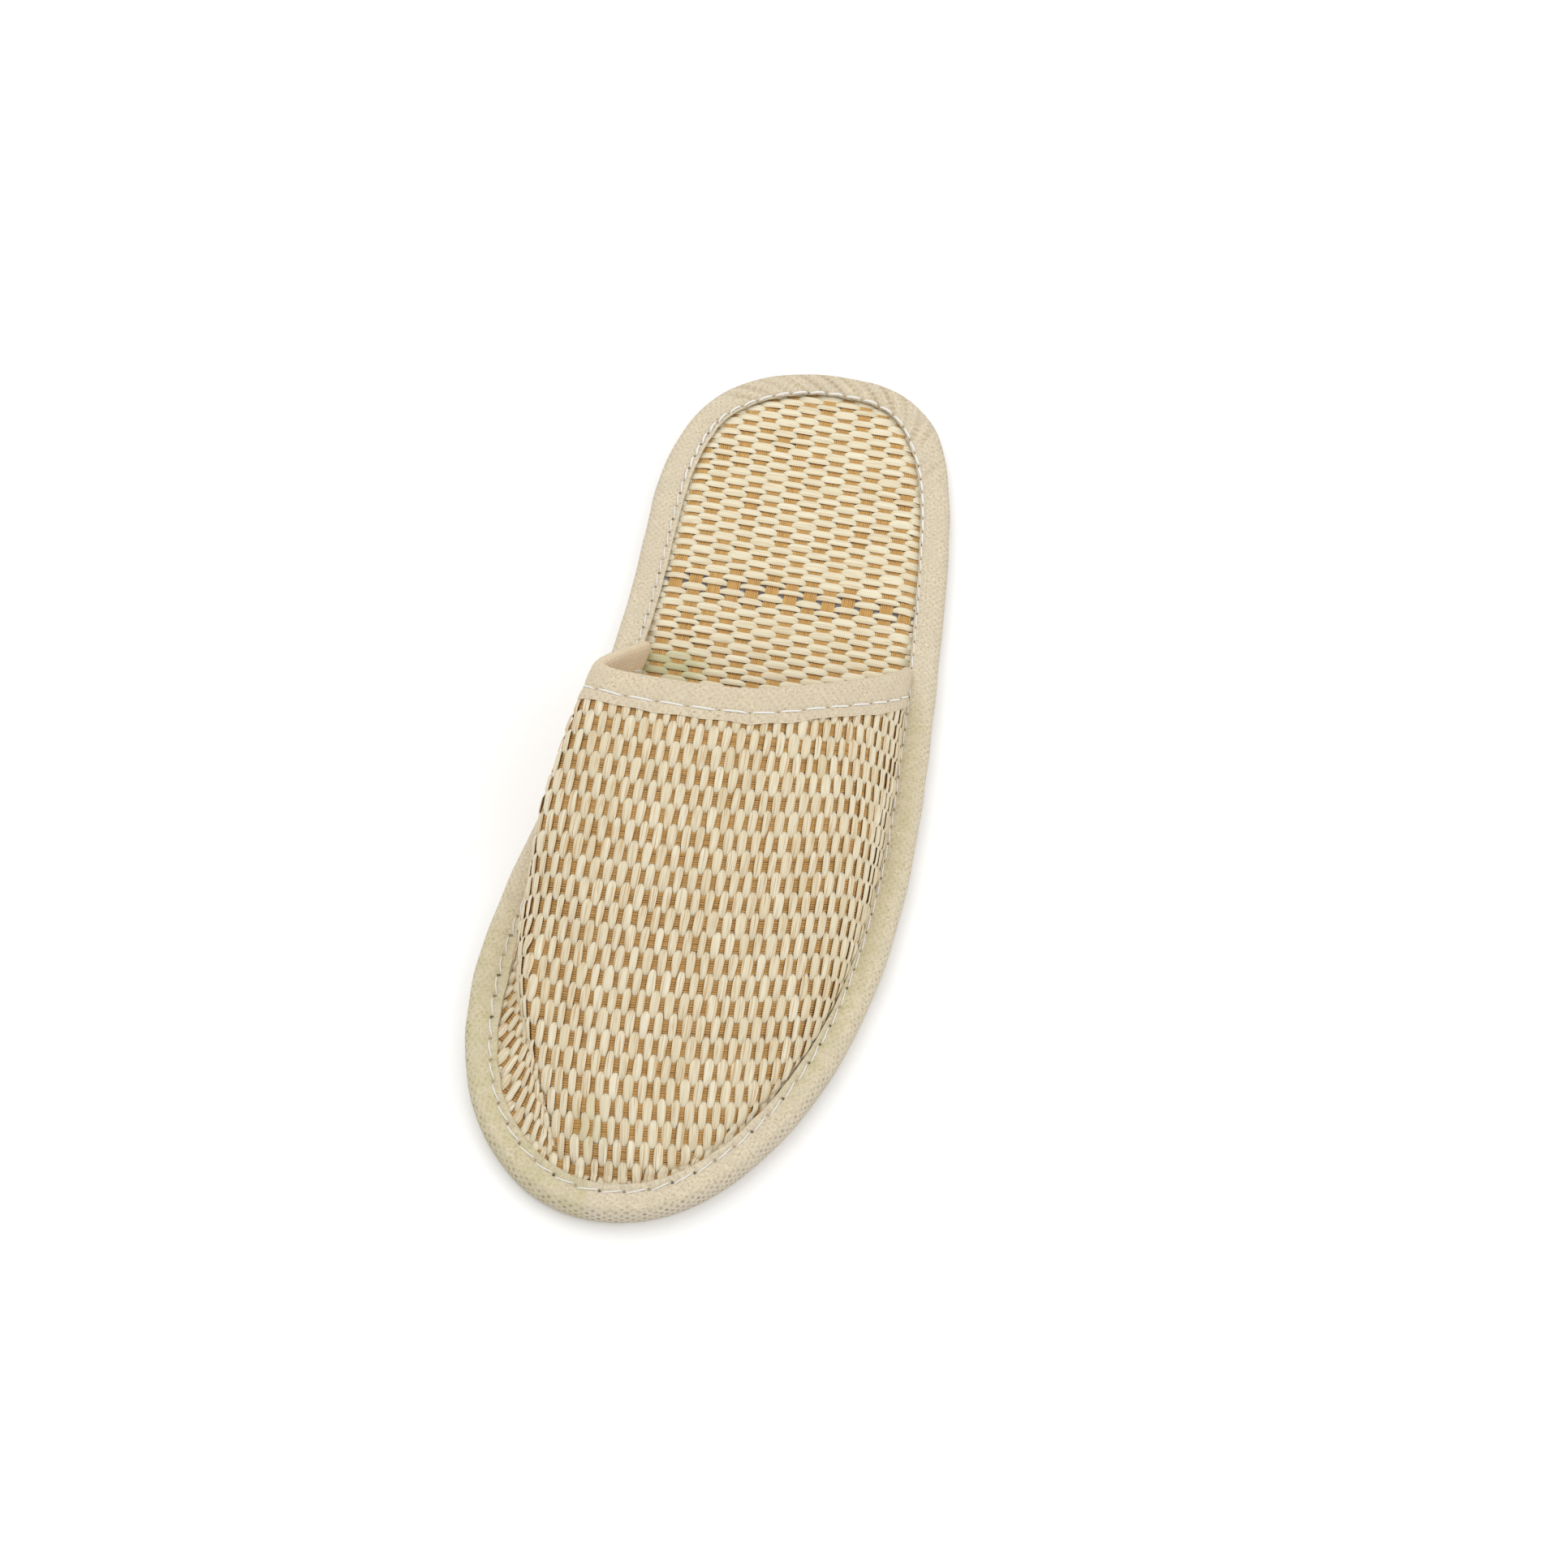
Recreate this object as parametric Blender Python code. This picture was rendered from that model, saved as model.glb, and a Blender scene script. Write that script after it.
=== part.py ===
"""Hotel slipper for the left foot: a cork board and a woven straw mat, a hollow
woven straw upper, and tape folded over the shoe's edge and over the collar.

The shape is worked out in a shoemaker's measures, in millimetres: a station runs
from the heel's tip to the toe's tip, and an offset is positive to the lateral side.
In the model the toe points to -Y, the lateral side to +X, and the shoe stands on z = 0.
"""

import math

import bmesh
import bpy
from mathutils import Vector

MM = 0.001

# ---------------------------------------------------------------- driving sizes

LENGTH = 285.0            # heel tip to toe tip
MIDDLE_OFFSET = 3.1       # offset of the middle of the shoe's box from the heel's axis

TAPE = 0.8                # thickness of the tape, with its hem
GAP = 0.3                 # clearance between neighbouring pieces
TOP_FLANGE = 8.8          # the tape's width over the top edge
BOTTOM_FLANGE = 11.0      # the tape's width under the board
BODY_INSET = TAPE + 2 * GAP       # side of the board, mat and margin inside the tape
COLLAR_TAPE = 9.5         # the tape's width on each side of the collar
COLLAR_SLACK = 0.6        # clearance between the collar's tape and the wall it hugs

CORK_UNDERSIDE = 0.4      # the cork is held this far off the floor by the tape
CORK_TOP = 5.1
MAT_THICKNESS = 1.2       # the mat where the tape presses it
MAT_CROWN = 0.7           # how far the mat stands above its pressed rim
MARGIN = 0.8              # the upper's pressed edge under the tape

WALL = 1.0                # the upper's wall without its raised strips
STRIP_PITCH = 2.2         # one straw strip to the next
STRIP_RAISE = 0.35        # how far a strip stands over or dips under the middle
BAND_PITCH = 5.8          # one bundle of threads to the next

MAT_BOTTOM = CORK_TOP + GAP
MAT_RIM = MAT_BOTTOM + MAT_THICKNESS
MARGIN_BOTTOM = MAT_RIM + GAP
MARGIN_MIDDLE = MARGIN_BOTTOM + MARGIN / 2
HEEL_FLANGE_TOP = MAT_RIM + GAP + TAPE
TOE_FLANGE_TOP = MARGIN_BOTTOM + MARGIN + GAP + TAPE

COLLAR_LATERAL = 100.0    # station of the collar's lateral end
COLLAR_MEDIAL = 114.0     # station of its medial end
COLLAR_LEAN = 0.95        # the collar's edge moves this far forward per mm of full rise
COLLAR_SAG = 0.2          # the share of the lean that is missing at the collar's ends
COLLAR_RISE = 40.0        # the collar's full rise
WIDEST = 192.0            # station where the upper's foot is widest
UPPER_FOOT = TOP_FLANGE + 1.2     # inset of the middle of the upper's wall at its foot

# The sole's outline: offset = spine + fullness * 2 * sqrt(s * (1 - s)), s = station / LENGTH
OUTLINE = {
    "station":  (0.0, 5.0, 20.0, 50.0, 85.0, 120.0, 155.0, 190.0, 225.0, 255.0, 278.0, 285.0),
    "spine":    (0.2, -4.2, -7.4, -5.9, -1.4, 2.6, 4.4, 3.5, 1.0, -1.2, -1.8, -2.9),
    "fullness": (84.0, 80.2, 71.1, 59.0, 51.2, 49.1, 51.4, 56.5, 62.8, 68.1, 72.1, 73.0),
}

# The upper's height above the floor along its arch, lateral foot to medial foot, and
# how far its medial side bulges past its foot
ARCH = {
    "station":      (100.0, 128.0, 146.0, 164.0, 188.0, 212.0, 236.0, 254.0, 268.0, 275.4),
    "lateral_low":  (17.0, 17.5, 18.5, 19.0, 17.0, 14.0, 11.5, 10.2, 9.4, 7.3),
    "lateral_mid":  (27.0, 27.5, 28.5, 28.5, 25.0, 20.0, 15.5, 13.0, 10.3, 7.3),
    "lateral_high": (36.0, 37.0, 37.5, 36.0, 30.5, 25.0, 20.0, 16.3, 12.0, 7.3),
    "crown":        (43.0, 45.0, 45.0, 42.0, 35.5, 28.5, 22.5, 18.0, 13.0, 7.3),
    "medial_high":  (47.0, 48.5, 48.0, 45.0, 37.0, 28.5, 21.0, 16.3, 12.0, 7.3),
    "medial_mid":   (44.0, 46.0, 46.0, 43.0, 34.5, 24.5, 16.5, 12.5, 9.6, 7.3),
    "medial_low":   (30.0, 32.0, 34.0, 33.0, 26.0, 15.5, 11.2, 10.0, 9.3, 7.3),
    "bulge":        (8.0, 10.0, 12.0, 13.0, 11.0, 5.0, 1.0, 0.0, 0.0, 0.0),
}
ARCH_COLUMNS = ("lateral_low", "lateral_mid", "lateral_high", "crown",
                "medial_high", "medial_mid", "medial_low")
LATERAL_BULGE = 1.5

# ---------------------------------------------------------------- curves and tables


def smooth(knots, values, at):
    """Read a smooth curve through the values of a table's column."""
    last = len(knots) - 1
    at = min(max(at, knots[0]), knots[last])
    i = next(k for k in range(last) if at <= knots[k + 1])
    span = knots[i + 1] - knots[i]
    share = (at - knots[i]) / span

    def slope(k):
        before, after = max(k - 1, 0), min(k + 1, last)
        return (values[after] - values[before]) / (knots[after] - knots[before])

    rise = values[i + 1] - values[i]
    a = slope(i) * span - rise
    b = rise - slope(i + 1) * span
    return values[i] + share * rise + share * (1 - share) * (a * (1 - share) + b * share)


OUTLINE_TURNS = [math.acos(1 - 2 * station / LENGTH) for station in OUTLINE["station"]]


def outline_point(turn):
    """A point of the sole's outline: turn 0 is the heel, pi the toe, over the lateral side."""
    around = turn % (2 * math.pi)
    side = 1 if around <= math.pi else -1
    from_heel = around if side > 0 else 2 * math.pi - around
    spine = smooth(OUTLINE_TURNS, OUTLINE["spine"], from_heel)
    fullness = smooth(OUTLINE_TURNS, OUTLINE["fullness"], from_heel)
    station = LENGTH / 2 * (1 - math.cos(from_heel))
    return Vector((station, spine + side * fullness * math.sin(from_heel)))


TANGENT_STEP = 0.004


def rim(turn, inset):
    """A point of the outline moved inward by the inset."""
    along = outline_point(turn + TANGENT_STEP) - outline_point(turn - TANGENT_STEP)
    inward = Vector((along.y, -along.x)).normalized()
    return outline_point(turn) + inward * inset


def bisect(low, high, is_before):
    """The value between low and high where is_before stops holding."""
    for _ in range(40):
        middle = (low + high) / 2
        if is_before(middle):
            low = middle
        else:
            high = middle
    return (low + high) / 2


def rim_offset(station, inset, side):
    """The offset of the inset outline at a station, on the lateral (1) or medial (-1) side."""
    turn = bisect(0.0, math.pi, lambda t: rim(side * t, inset).x < station)
    return rim(side * turn, inset).y


def model_point(station, offset, height):
    """Shoemaker's measures to the model's metres."""
    return Vector((offset - MIDDLE_OFFSET, LENGTH / 2 - station, height)) * MM


# ---------------------------------------------------------------- the upper's surface

FOOT_START = COLLAR_LATERAL - 6.0
FOOT_END = rim(math.pi, UPPER_FOOT).x
FOOT_SAMPLES = 60
FOOT_STATIONS = [FOOT_START + (FOOT_END - FOOT_START) * math.sin(math.pi / 2 * k / FOOT_SAMPLES)
                 for k in range(FOOT_SAMPLES + 1)]
FOOT_OFFSETS = {side: [rim_offset(station, UPPER_FOOT, side) for station in FOOT_STATIONS]
                for side in (1, -1)}


def foot(station):
    """The middle and the half width between the upper's two feet at a station."""
    lateral = smooth(FOOT_STATIONS, FOOT_OFFSETS[1], station)
    medial = smooth(FOOT_STATIONS, FOOT_OFFSETS[-1], station)
    return (lateral + medial) / 2, max((lateral - medial) / 2, 0.001)


ARCH_ANGLES = [-90.0 + 22.5 * k for k in range(9)]


def arch(station, angle):
    """A point of the upper's middle surface: angle 90 is the lateral foot, -90 the medial."""
    middle, half = foot(station)
    heights = [MARGIN_MIDDLE]
    heights += [smooth(ARCH["station"], ARCH[name], station) for name in reversed(ARCH_COLUMNS)]
    heights += [MARGIN_MIDDLE]
    height = smooth(ARCH_ANGLES, heights, angle)
    bulge = LATERAL_BULGE if angle > 0 else smooth(ARCH["station"], ARCH["bulge"], station)
    bulge *= min(1.0, half / 30) * abs(math.sin(math.radians(2 * angle))) ** 1.5
    bulge = math.copysign(bulge, angle)
    return Vector((station, middle + half * math.sin(math.radians(angle)) + bulge, height))


def collar_station(angle):
    """Where the collar's sloping edge meets the arch line of an angle."""
    across = (1 - math.sin(math.radians(angle))) / 2
    start = COLLAR_LATERAL + (COLLAR_MEDIAL - COLLAR_LATERAL) * across

    def is_before(station):
        rise = arch(station, angle).z - MARGIN_MIDDLE
        lean = COLLAR_LEAN * (1 - COLLAR_SAG * (1 - rise / COLLAR_RISE))
        return station < start + lean * rise

    return bisect(FOOT_START, WIDEST, is_before)


def strip_offset(angle):
    """The offset that a lengthwise strip keeps in front of the widest station."""
    middle, half = foot(WIDEST)
    return middle + half * math.sin(math.radians(angle))


def strip_end(angle):
    """The station where a lengthwise strip runs under the toe's tape."""
    offset = strip_offset(angle)
    toe_offset = rim(math.pi, UPPER_FOOT).y
    side = 1 if offset > toe_offset else -1
    start = bisect(0.0, math.pi, lambda t: rim(t, UPPER_FOOT).x < WIDEST)
    turn = bisect(start, math.pi, lambda t: side * (rim(side * t, UPPER_FOOT).y - offset) > 0)
    return min(rim(side * turn, UPPER_FOOT).x, FOOT_END)


def upper_point(angle, along, ends):
    """The middle surface by strip, from the collar (along 0) to the strip's end (along 1)."""
    station = ends[0] + (ends[1] - ends[0]) * along
    if station > WIDEST:
        middle, half = foot(station)
        share = min(max((strip_offset(angle) - middle) / half, -1.0), 1.0)
        angle = math.degrees(math.asin(share))
    return arch(station, angle)


COLLAR_ARCH_LENGTH = 132.0
STRIPS = 2 * round(COLLAR_ARCH_LENGTH / STRIP_PITCH / 2)
BANDS = 2 * round((FOOT_END - collar_station(0.0)) / BAND_PITCH / 2)


class UpperSurface:
    """The upper's middle surface and its normals, read at any strip and distance."""

    def __init__(self):
        self.ends = {}

    def strip_ends(self, angle):
        key = round(angle, 4)
        if key not in self.ends:
            self.ends[key] = (collar_station(angle), strip_end(angle))
        return self.ends[key]

    def point(self, across, along):
        angle = 90.0 * across
        return upper_point(angle, along, self.strip_ends(angle))

    def normal(self, across, along):
        step = 0.01
        left, right = max(across - step, -1.0), min(across + step, 1.0)
        back, front = max(along - step, 0.0), min(along + step, 1.0)
        sideways = self.point(right, along) - self.point(left, along)
        forward = self.point(across, front) - self.point(across, back)
        return forward.cross(sideways).normalized()

    def offset_point(self, across, along, out):
        return self.point(across, along) + self.normal(across, along) * out


SURFACE = UpperSurface()


# ---------------------------------------------------------------- mesh helpers


def zip_loops(mesh, first, second):
    """Join two closed loops of unlike counts with triangles, by the shorter diagonal."""
    start = min(range(len(second)), key=lambda k: (second[k].co - first[0].co).length)
    second = second[start:] + second[:start]
    zip_rows(mesh, first + first[:1], second + second[:1])


def zip_rows(mesh, first, second):
    """Join two open rows of unlike counts with triangles, by the shorter diagonal."""
    i = j = 0
    while i < len(first) - 1 or j < len(second) - 1:
        if j == len(second) - 1:
            take_first = True
        elif i == len(first) - 1:
            take_first = False
        else:
            ahead_first = (first[i + 1].co - second[j].co).length
            ahead_second = (first[i].co - second[j + 1].co).length
            take_first = ahead_first < ahead_second
        if take_first:
            mesh.faces.new((first[i], first[i + 1], second[j]))
            i += 1
        else:
            mesh.faces.new((first[i], second[j + 1], second[j]))
            j += 1


def join_rows(mesh, first, second):
    """Join two open rows of like counts with quads."""
    for a, b, c, d in zip(first, first[1:], second[1:], second):
        mesh.faces.new((a, b, c, d))


def join_weave(mesh, rows):
    """Join the rows of a grid, creased between its low corners, so each high one is a float."""
    for i, (row, following) in enumerate(zip(rows, rows[1:])):
        for j in range(len(row) - 1):
            corners = [row[j], row[j + 1], following[j + 1], following[j]]
            if (i + j) % 2 == 0:
                corners = corners[1:] + corners[:1]
            mesh.faces.new((corners[0], corners[1], corners[2]))
            mesh.faces.new((corners[0], corners[2], corners[3]))


def join_loops(mesh, first, second):
    """Join two closed loops of like counts with quads."""
    join_rows(mesh, first + first[:1], second + second[:1])


def rim_loop(mesh, turns, inset, height):
    """A loop of vertices along the inset outline at one height."""
    loop = []
    for turn in turns:
        point = rim(turn, inset)
        loop.append(mesh.verts.new(model_point(point.x, point.y, height)))
    return loop


def surface_vertex(mesh, point):
    """A vertex at a point given by station, offset and height."""
    return mesh.verts.new(model_point(point.x, point.y, point.z))


def finish(mesh, name, colour, roughness):
    """Turn a bmesh into a named object with its own material."""
    bmesh.ops.recalc_face_normals(mesh, faces=mesh.faces)
    data = bpy.data.meshes.new(name)
    mesh.to_mesh(data)
    mesh.free()
    data.shade_smooth()
    data.set_sharp_from_angle(angle=math.radians(40))
    material = bpy.data.materials.new(name)
    material.use_nodes = True
    shader = material.node_tree.nodes["Principled BSDF"]
    shader.inputs["Base Color"].default_value = (*colour, 1.0)
    shader.inputs["Roughness"].default_value = roughness
    shader.inputs["Metallic"].default_value = 0.0
    material.diffuse_color = (*colour, 1.0)
    data.materials.append(material)
    made = bpy.data.objects.new(name, data)
    SLIPPER.objects.link(made)
    return made


# ---------------------------------------------------------------- the pieces

RIM_STEPS = 72
RIM_TURNS = [2 * math.pi * k / RIM_STEPS for k in range(RIM_STEPS)]


def make_outsole():
    """The cork board, rebated underneath for the tape's flange."""
    mesh = bmesh.new()
    profile = (
        (BOTTOM_FLANGE + GAP, CORK_UNDERSIDE),
        (BOTTOM_FLANGE + GAP, TAPE + GAP),
        (BODY_INSET + GAP, TAPE + GAP),
        (BODY_INSET, TAPE + 3 * GAP),
        (BODY_INSET, CORK_TOP - 2 * GAP),
        (BODY_INSET + GAP, CORK_TOP),
    )
    loops = [rim_loop(mesh, RIM_TURNS, inset, height) for inset, height in profile]
    for below, above in zip(loops, loops[1:]):
        join_loops(mesh, below, above)
    mesh.faces.new(loops[0])
    mesh.faces.new(loops[-1])
    return finish(mesh, "outsole", (0.35, 0.19, 0.09), 0.85)


MAT_INSET = UPPER_FOOT + WALL / 2 + MAT_CROWN + 2 * GAP
MAT_CELLS = round((rim_offset(WIDEST, MAT_INSET, 1) - rim_offset(WIDEST, MAT_INSET, -1))
                  / BAND_PITCH)


def make_insole():
    """The straw mat: its strips run across and stand up in a plain weave."""
    mesh = bmesh.new()
    first = rim(0.0, MAT_INSET).x + STRIP_PITCH / 2
    last = rim(math.pi, MAT_INSET).x - STRIP_PITCH / 2
    count = round((last - first) / STRIP_PITCH)
    rows = []
    for k in range(count + 1):
        station = first + (last - first) * k / count
        lateral = rim_offset(station, MAT_INSET, 1)
        medial = rim_offset(station, MAT_INSET, -1)
        row = []
        for cell in range(MAT_CELLS + 1):
            inner = 0 < cell < MAT_CELLS and 0 < k < count
            raised = STRIP_RAISE * (-1) ** (k + cell) if inner else 0.0
            offset = lateral + (medial - lateral) * cell / MAT_CELLS
            height = MAT_RIM + MAT_CROWN + raised
            row.append(mesh.verts.new(model_point(station, offset, height)))
        rows.append(row)
    join_weave(mesh, rows)
    edge = [row[0] for row in rows] + rows[-1][1:-1]
    edge += [row[-1] for row in reversed(rows)] + rows[0][-2:0:-1]
    shoulder = rim_loop(mesh, RIM_TURNS, MAT_INSET - MAT_CROWN, MAT_RIM)
    top = rim_loop(mesh, RIM_TURNS, BODY_INSET, MAT_RIM)
    bottom = rim_loop(mesh, RIM_TURNS, BODY_INSET, MAT_BOTTOM)
    zip_loops(mesh, edge, shoulder)
    join_loops(mesh, shoulder, top)
    join_loops(mesh, top, bottom)
    mesh.faces.new(bottom)
    return finish(mesh, "insole", (0.78, 0.69, 0.50), 0.6)


def foot_turn(across, along):
    """The outline's turn at a point of the upper's foot."""
    angle = 90.0 * across
    ends = SURFACE.strip_ends(angle)
    station = ends[0] + (ends[1] - ends[0]) * along
    side = 1 if strip_offset(angle) > rim(math.pi, UPPER_FOOT).y else -1
    return side * bisect(0.0, math.pi, lambda t: rim(side * t, UPPER_FOOT).x < station)


def foot_path(strips, bands):
    """Places along the upper's foot: lateral side to the toe, and back on the medial side."""
    path = [(1.0, band / bands) for band in range(bands)]
    path += [(1.0 - 2.0 * strip / strips, 1.0) for strip in range(strips)]
    path += [(-1.0, 1.0 - band / bands) for band in range(bands + 1)]
    return path


def upper_grid(mesh, strips, bands, out, raised):
    """One face of the upper's wall, with the strips raised in a plain weave."""
    grid = []
    for strip in range(strips + 1):
        across = 1.0 - 2.0 * strip / strips
        row = []
        for band in range(bands + 1):
            along = band / bands
            if band == bands or strip in (0, strips):
                point = rim(foot_turn(across, along), UPPER_FOOT - out)
                height = MARGIN_MIDDLE + math.copysign(MARGIN / 2, out)
                row.append(mesh.verts.new(model_point(point.x, point.y, height)))
                continue
            bump = raised * (-1) ** (strip + band) if band else 0.0
            row.append(surface_vertex(mesh, SURFACE.offset_point(across, along, out + bump)))
        grid.append(row)
    join_weave(mesh, grid)
    return grid


def grid_foot(grid):
    """The vertices of a grid along the upper's foot, in the order of foot_path."""
    return grid[0][:-1] + [row[-1] for row in grid[:-1]] + grid[-1][::-1]


def make_upper():
    """The hollow vamp: a woven wall, open at the collar and underneath, with its margin."""
    mesh = bmesh.new()
    outer = upper_grid(mesh, STRIPS, BANDS, WALL / 2, STRIP_RAISE)
    inner = upper_grid(mesh, STRIPS // 2, BANDS // 2, -WALL / 2, 0.0)
    turns = [foot_turn(*place) for place in foot_path(STRIPS // 2, BANDS // 2)]
    margin_top = rim_loop(mesh, turns, BODY_INSET, MARGIN_BOTTOM + MARGIN)
    margin_bottom = rim_loop(mesh, turns, BODY_INSET, MARGIN_BOTTOM)
    zip_rows(mesh, grid_foot(outer), margin_top)
    join_rows(mesh, margin_top, margin_bottom)
    join_rows(mesh, margin_bottom, grid_foot(inner))
    zip_rows(mesh, [row[0] for row in outer], [row[0] for row in inner])
    for end in (0, -1):
        mesh.faces.new((outer[end][0], margin_top[end], margin_bottom[end], inner[end][0]))
    return finish(mesh, "upper", (0.76, 0.66, 0.46), 0.6)


FLANGE_STEP = (14.0, 11.0)      # where the flange starts to rise before the collar, and its run


def flange_top(turn):
    """The height of the tape's top flange, raised where the upper's margin is under it."""
    point = outline_point(turn)
    collar_end = COLLAR_LATERAL if point.y > 0 else COLLAR_MEDIAL
    share = min(max((point.x - collar_end + FLANGE_STEP[0]) / FLANGE_STEP[1], 0.0), 1.0)
    share *= share * (3 - 2 * share)
    return HEEL_FLANGE_TOP + (TOE_FLANGE_TOP - HEEL_FLANGE_TOP) * share


def make_edge_binding():
    """The tape folded round the shoe's whole edge."""
    mesh = bmesh.new()
    sections = []
    for turn in RIM_TURNS:
        top = flange_top(turn)
        profile = (
            (TOP_FLANGE, top - TAPE), (TOP_FLANGE, top),
            (1.6, top), (0.5, top - 0.9), (0.0, top / 2), (0.4, 1.0), (1.4, 0.0),
            (BOTTOM_FLANGE, 0.0), (BOTTOM_FLANGE, TAPE),
            (TAPE + GAP, TAPE), (TAPE, top / 2), (TAPE + GAP, top - TAPE),
        )
        section = []
        for inset, height in profile:
            point = rim(turn, inset)
            section.append(mesh.verts.new(model_point(point.x, point.y, height)))
        sections.append(section)
    for section, following in zip(sections, sections[1:] + sections[:1]):
        join_loops(mesh, section, following)
    return finish(mesh, "edge_binding", (0.66, 0.58, 0.42), 0.75)


COLLAR_STEPS = 30


def collar_limit(side):
    """How far round the arch the collar's tape reaches before it meets the edge tape."""
    clear = TOE_FLANGE_TOP + 2 * GAP
    return side * bisect(0.5, 1.0, lambda a: SURFACE.point(side * a, 0.0).z > clear)


def collar_section(across):
    """Points of the collar tape's cross-section at a place on the collar."""
    edge = SURFACE.point(across, 0.0)
    normal = SURFACE.normal(across, 0.0)
    rim_step = SURFACE.point(across + 0.01, 0.0) - SURFACE.point(across - 0.01, 0.0)
    forward = SURFACE.point(across, 0.02) - edge
    slant = rim_step.normalized().cross(forward.normalized()).length
    behind = normal.cross(rim_step).normalized()
    if behind.x > 0:
        behind = -behind
    reach = COLLAR_TAPE / slant * 0.02 / forward.length
    outside = WALL / 2 + STRIP_RAISE + COLLAR_SLACK
    inside = WALL / 2 + COLLAR_SLACK

    def leg(share, out):
        return SURFACE.offset_point(across, reach * share, out)

    def fold(back, out):
        return edge + behind * back + normal * out

    return [
        leg(1.0, outside), leg(1.0, outside + TAPE), leg(0.5, outside + TAPE),
        fold(0.2, outside + TAPE), fold(GAP + TAPE, outside * 0.6), fold(GAP + TAPE, -inside * 0.6),
        fold(0.2, -inside - TAPE), leg(0.5, -inside - TAPE), leg(1.0, -inside - TAPE),
        leg(1.0, -inside), leg(0.5, -inside), fold(GAP, -inside),
        fold(GAP, outside), leg(0.5, outside),
    ]


def make_collar_binding():
    """The tape folded over the collar's edge."""
    mesh = bmesh.new()
    lateral, medial = collar_limit(1), collar_limit(-1)
    sections = []
    for step in range(COLLAR_STEPS + 1):
        across = lateral + (medial - lateral) * step / COLLAR_STEPS
        sections.append([surface_vertex(mesh, point) for point in collar_section(across)])
    for section, following in zip(sections, sections[1:]):
        join_loops(mesh, section, following)
    mesh.faces.new(sections[0])
    mesh.faces.new(sections[-1])
    return finish(mesh, "collar_binding", (0.66, 0.58, 0.42), 0.75)


for old in list(bpy.data.objects):
    bpy.data.objects.remove(old)

SLIPPER = bpy.data.collections.new("hotel_slipper")
bpy.context.scene.collection.children.link(SLIPPER)

make_outsole()
make_insole()
make_upper()
make_edge_binding()
make_collar_binding()
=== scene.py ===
"""Hotel slipper for the left foot: dresses the fixed frame with its woven straw, its
thread bundles, the tape with its stitches, the lining and the cork.

The form is worked out in a shoemaker's measures, in millimetres, as in the part: a
station runs from the heel's tip to the toe's tip, an offset is positive to the lateral
side. In the model the toe points to -Y, the lateral side to +X, the floor is z = 0.
"""

import math

import bpy
import numpy as np
from bpy.props import FloatProperty, FloatVectorProperty, PointerProperty
from bpy.types import Operator, Panel, PropertyGroup
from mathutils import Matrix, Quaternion, Vector


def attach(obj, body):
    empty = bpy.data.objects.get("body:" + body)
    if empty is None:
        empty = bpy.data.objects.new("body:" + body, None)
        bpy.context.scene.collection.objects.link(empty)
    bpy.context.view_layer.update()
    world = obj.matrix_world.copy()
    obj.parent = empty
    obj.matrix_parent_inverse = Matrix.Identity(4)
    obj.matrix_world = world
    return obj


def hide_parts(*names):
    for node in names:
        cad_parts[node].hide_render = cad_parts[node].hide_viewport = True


bl_info = {
    "name": "Hotel Slipper",
    "version": (1, 0, 0),
    "blender": (4, 5, 0),
    "location": "3D View > Sidebar > Slipper",
    "description": "Weaves, binds and stitches a straw hotel slipper round its frame",
    "category": "Object",
}

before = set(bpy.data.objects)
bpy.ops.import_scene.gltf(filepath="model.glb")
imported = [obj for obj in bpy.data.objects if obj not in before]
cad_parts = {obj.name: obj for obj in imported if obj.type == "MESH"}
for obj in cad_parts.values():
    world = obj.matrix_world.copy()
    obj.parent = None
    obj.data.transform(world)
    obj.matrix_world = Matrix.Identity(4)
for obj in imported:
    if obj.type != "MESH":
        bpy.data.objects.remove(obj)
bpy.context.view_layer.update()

MM = 0.001

# ---------------------------------------------------------------- the shoe's own sizes

LENGTH = 285.0                  # heel tip to toe tip
MIDDLE_OFFSET = 3.1             # offset of the middle of the shoe's box
MAT_RIM = 6.6                   # height of the mat's pressed rim
FELT_INSET, FELT_FLOOR, FELT_THICKNESS = 1.9, 5.45, 0.4
MARGIN_MIDDLE = 7.3             # height of the upper's margin
COLLAR_LATERAL, COLLAR_MEDIAL = 100.0, 114.0     # stations of the collar's two ends
COLLAR_LEAN, COLLAR_SAG, COLLAR_RISE = 0.95, 0.2, 40.0
WIDEST = 192.0                  # station where the upper's foot is widest
UPPER_FOOT = 10.0               # inset of the middle of the upper's wall at its foot
FOOT_START = COLLAR_LATERAL - 6.0
CAP_START, CAP_INSET, CAP_RISE = 225.0, 7.0, 0.8     # the toe's part runs on to the seam
LATERAL_BULGE = 1.5
LINING_LINES, LINING_DEPTH, LINING_THICKNESS = 131, 0.5, 0.25

OUTLINE = {
    "station":  (0.0, 5.0, 20.0, 50.0, 85.0, 120.0, 155.0, 190.0, 225.0, 255.0, 278.0, 285.0),
    "spine":    (0.2, -4.2, -7.4, -5.9, -1.4, 2.6, 4.4, 3.5, 1.0, -1.2, -1.8, -2.9),
    "fullness": (84.0, 80.2, 71.1, 59.0, 51.2, 49.1, 51.4, 56.5, 62.8, 68.1, 72.1, 73.0),
}

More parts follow.
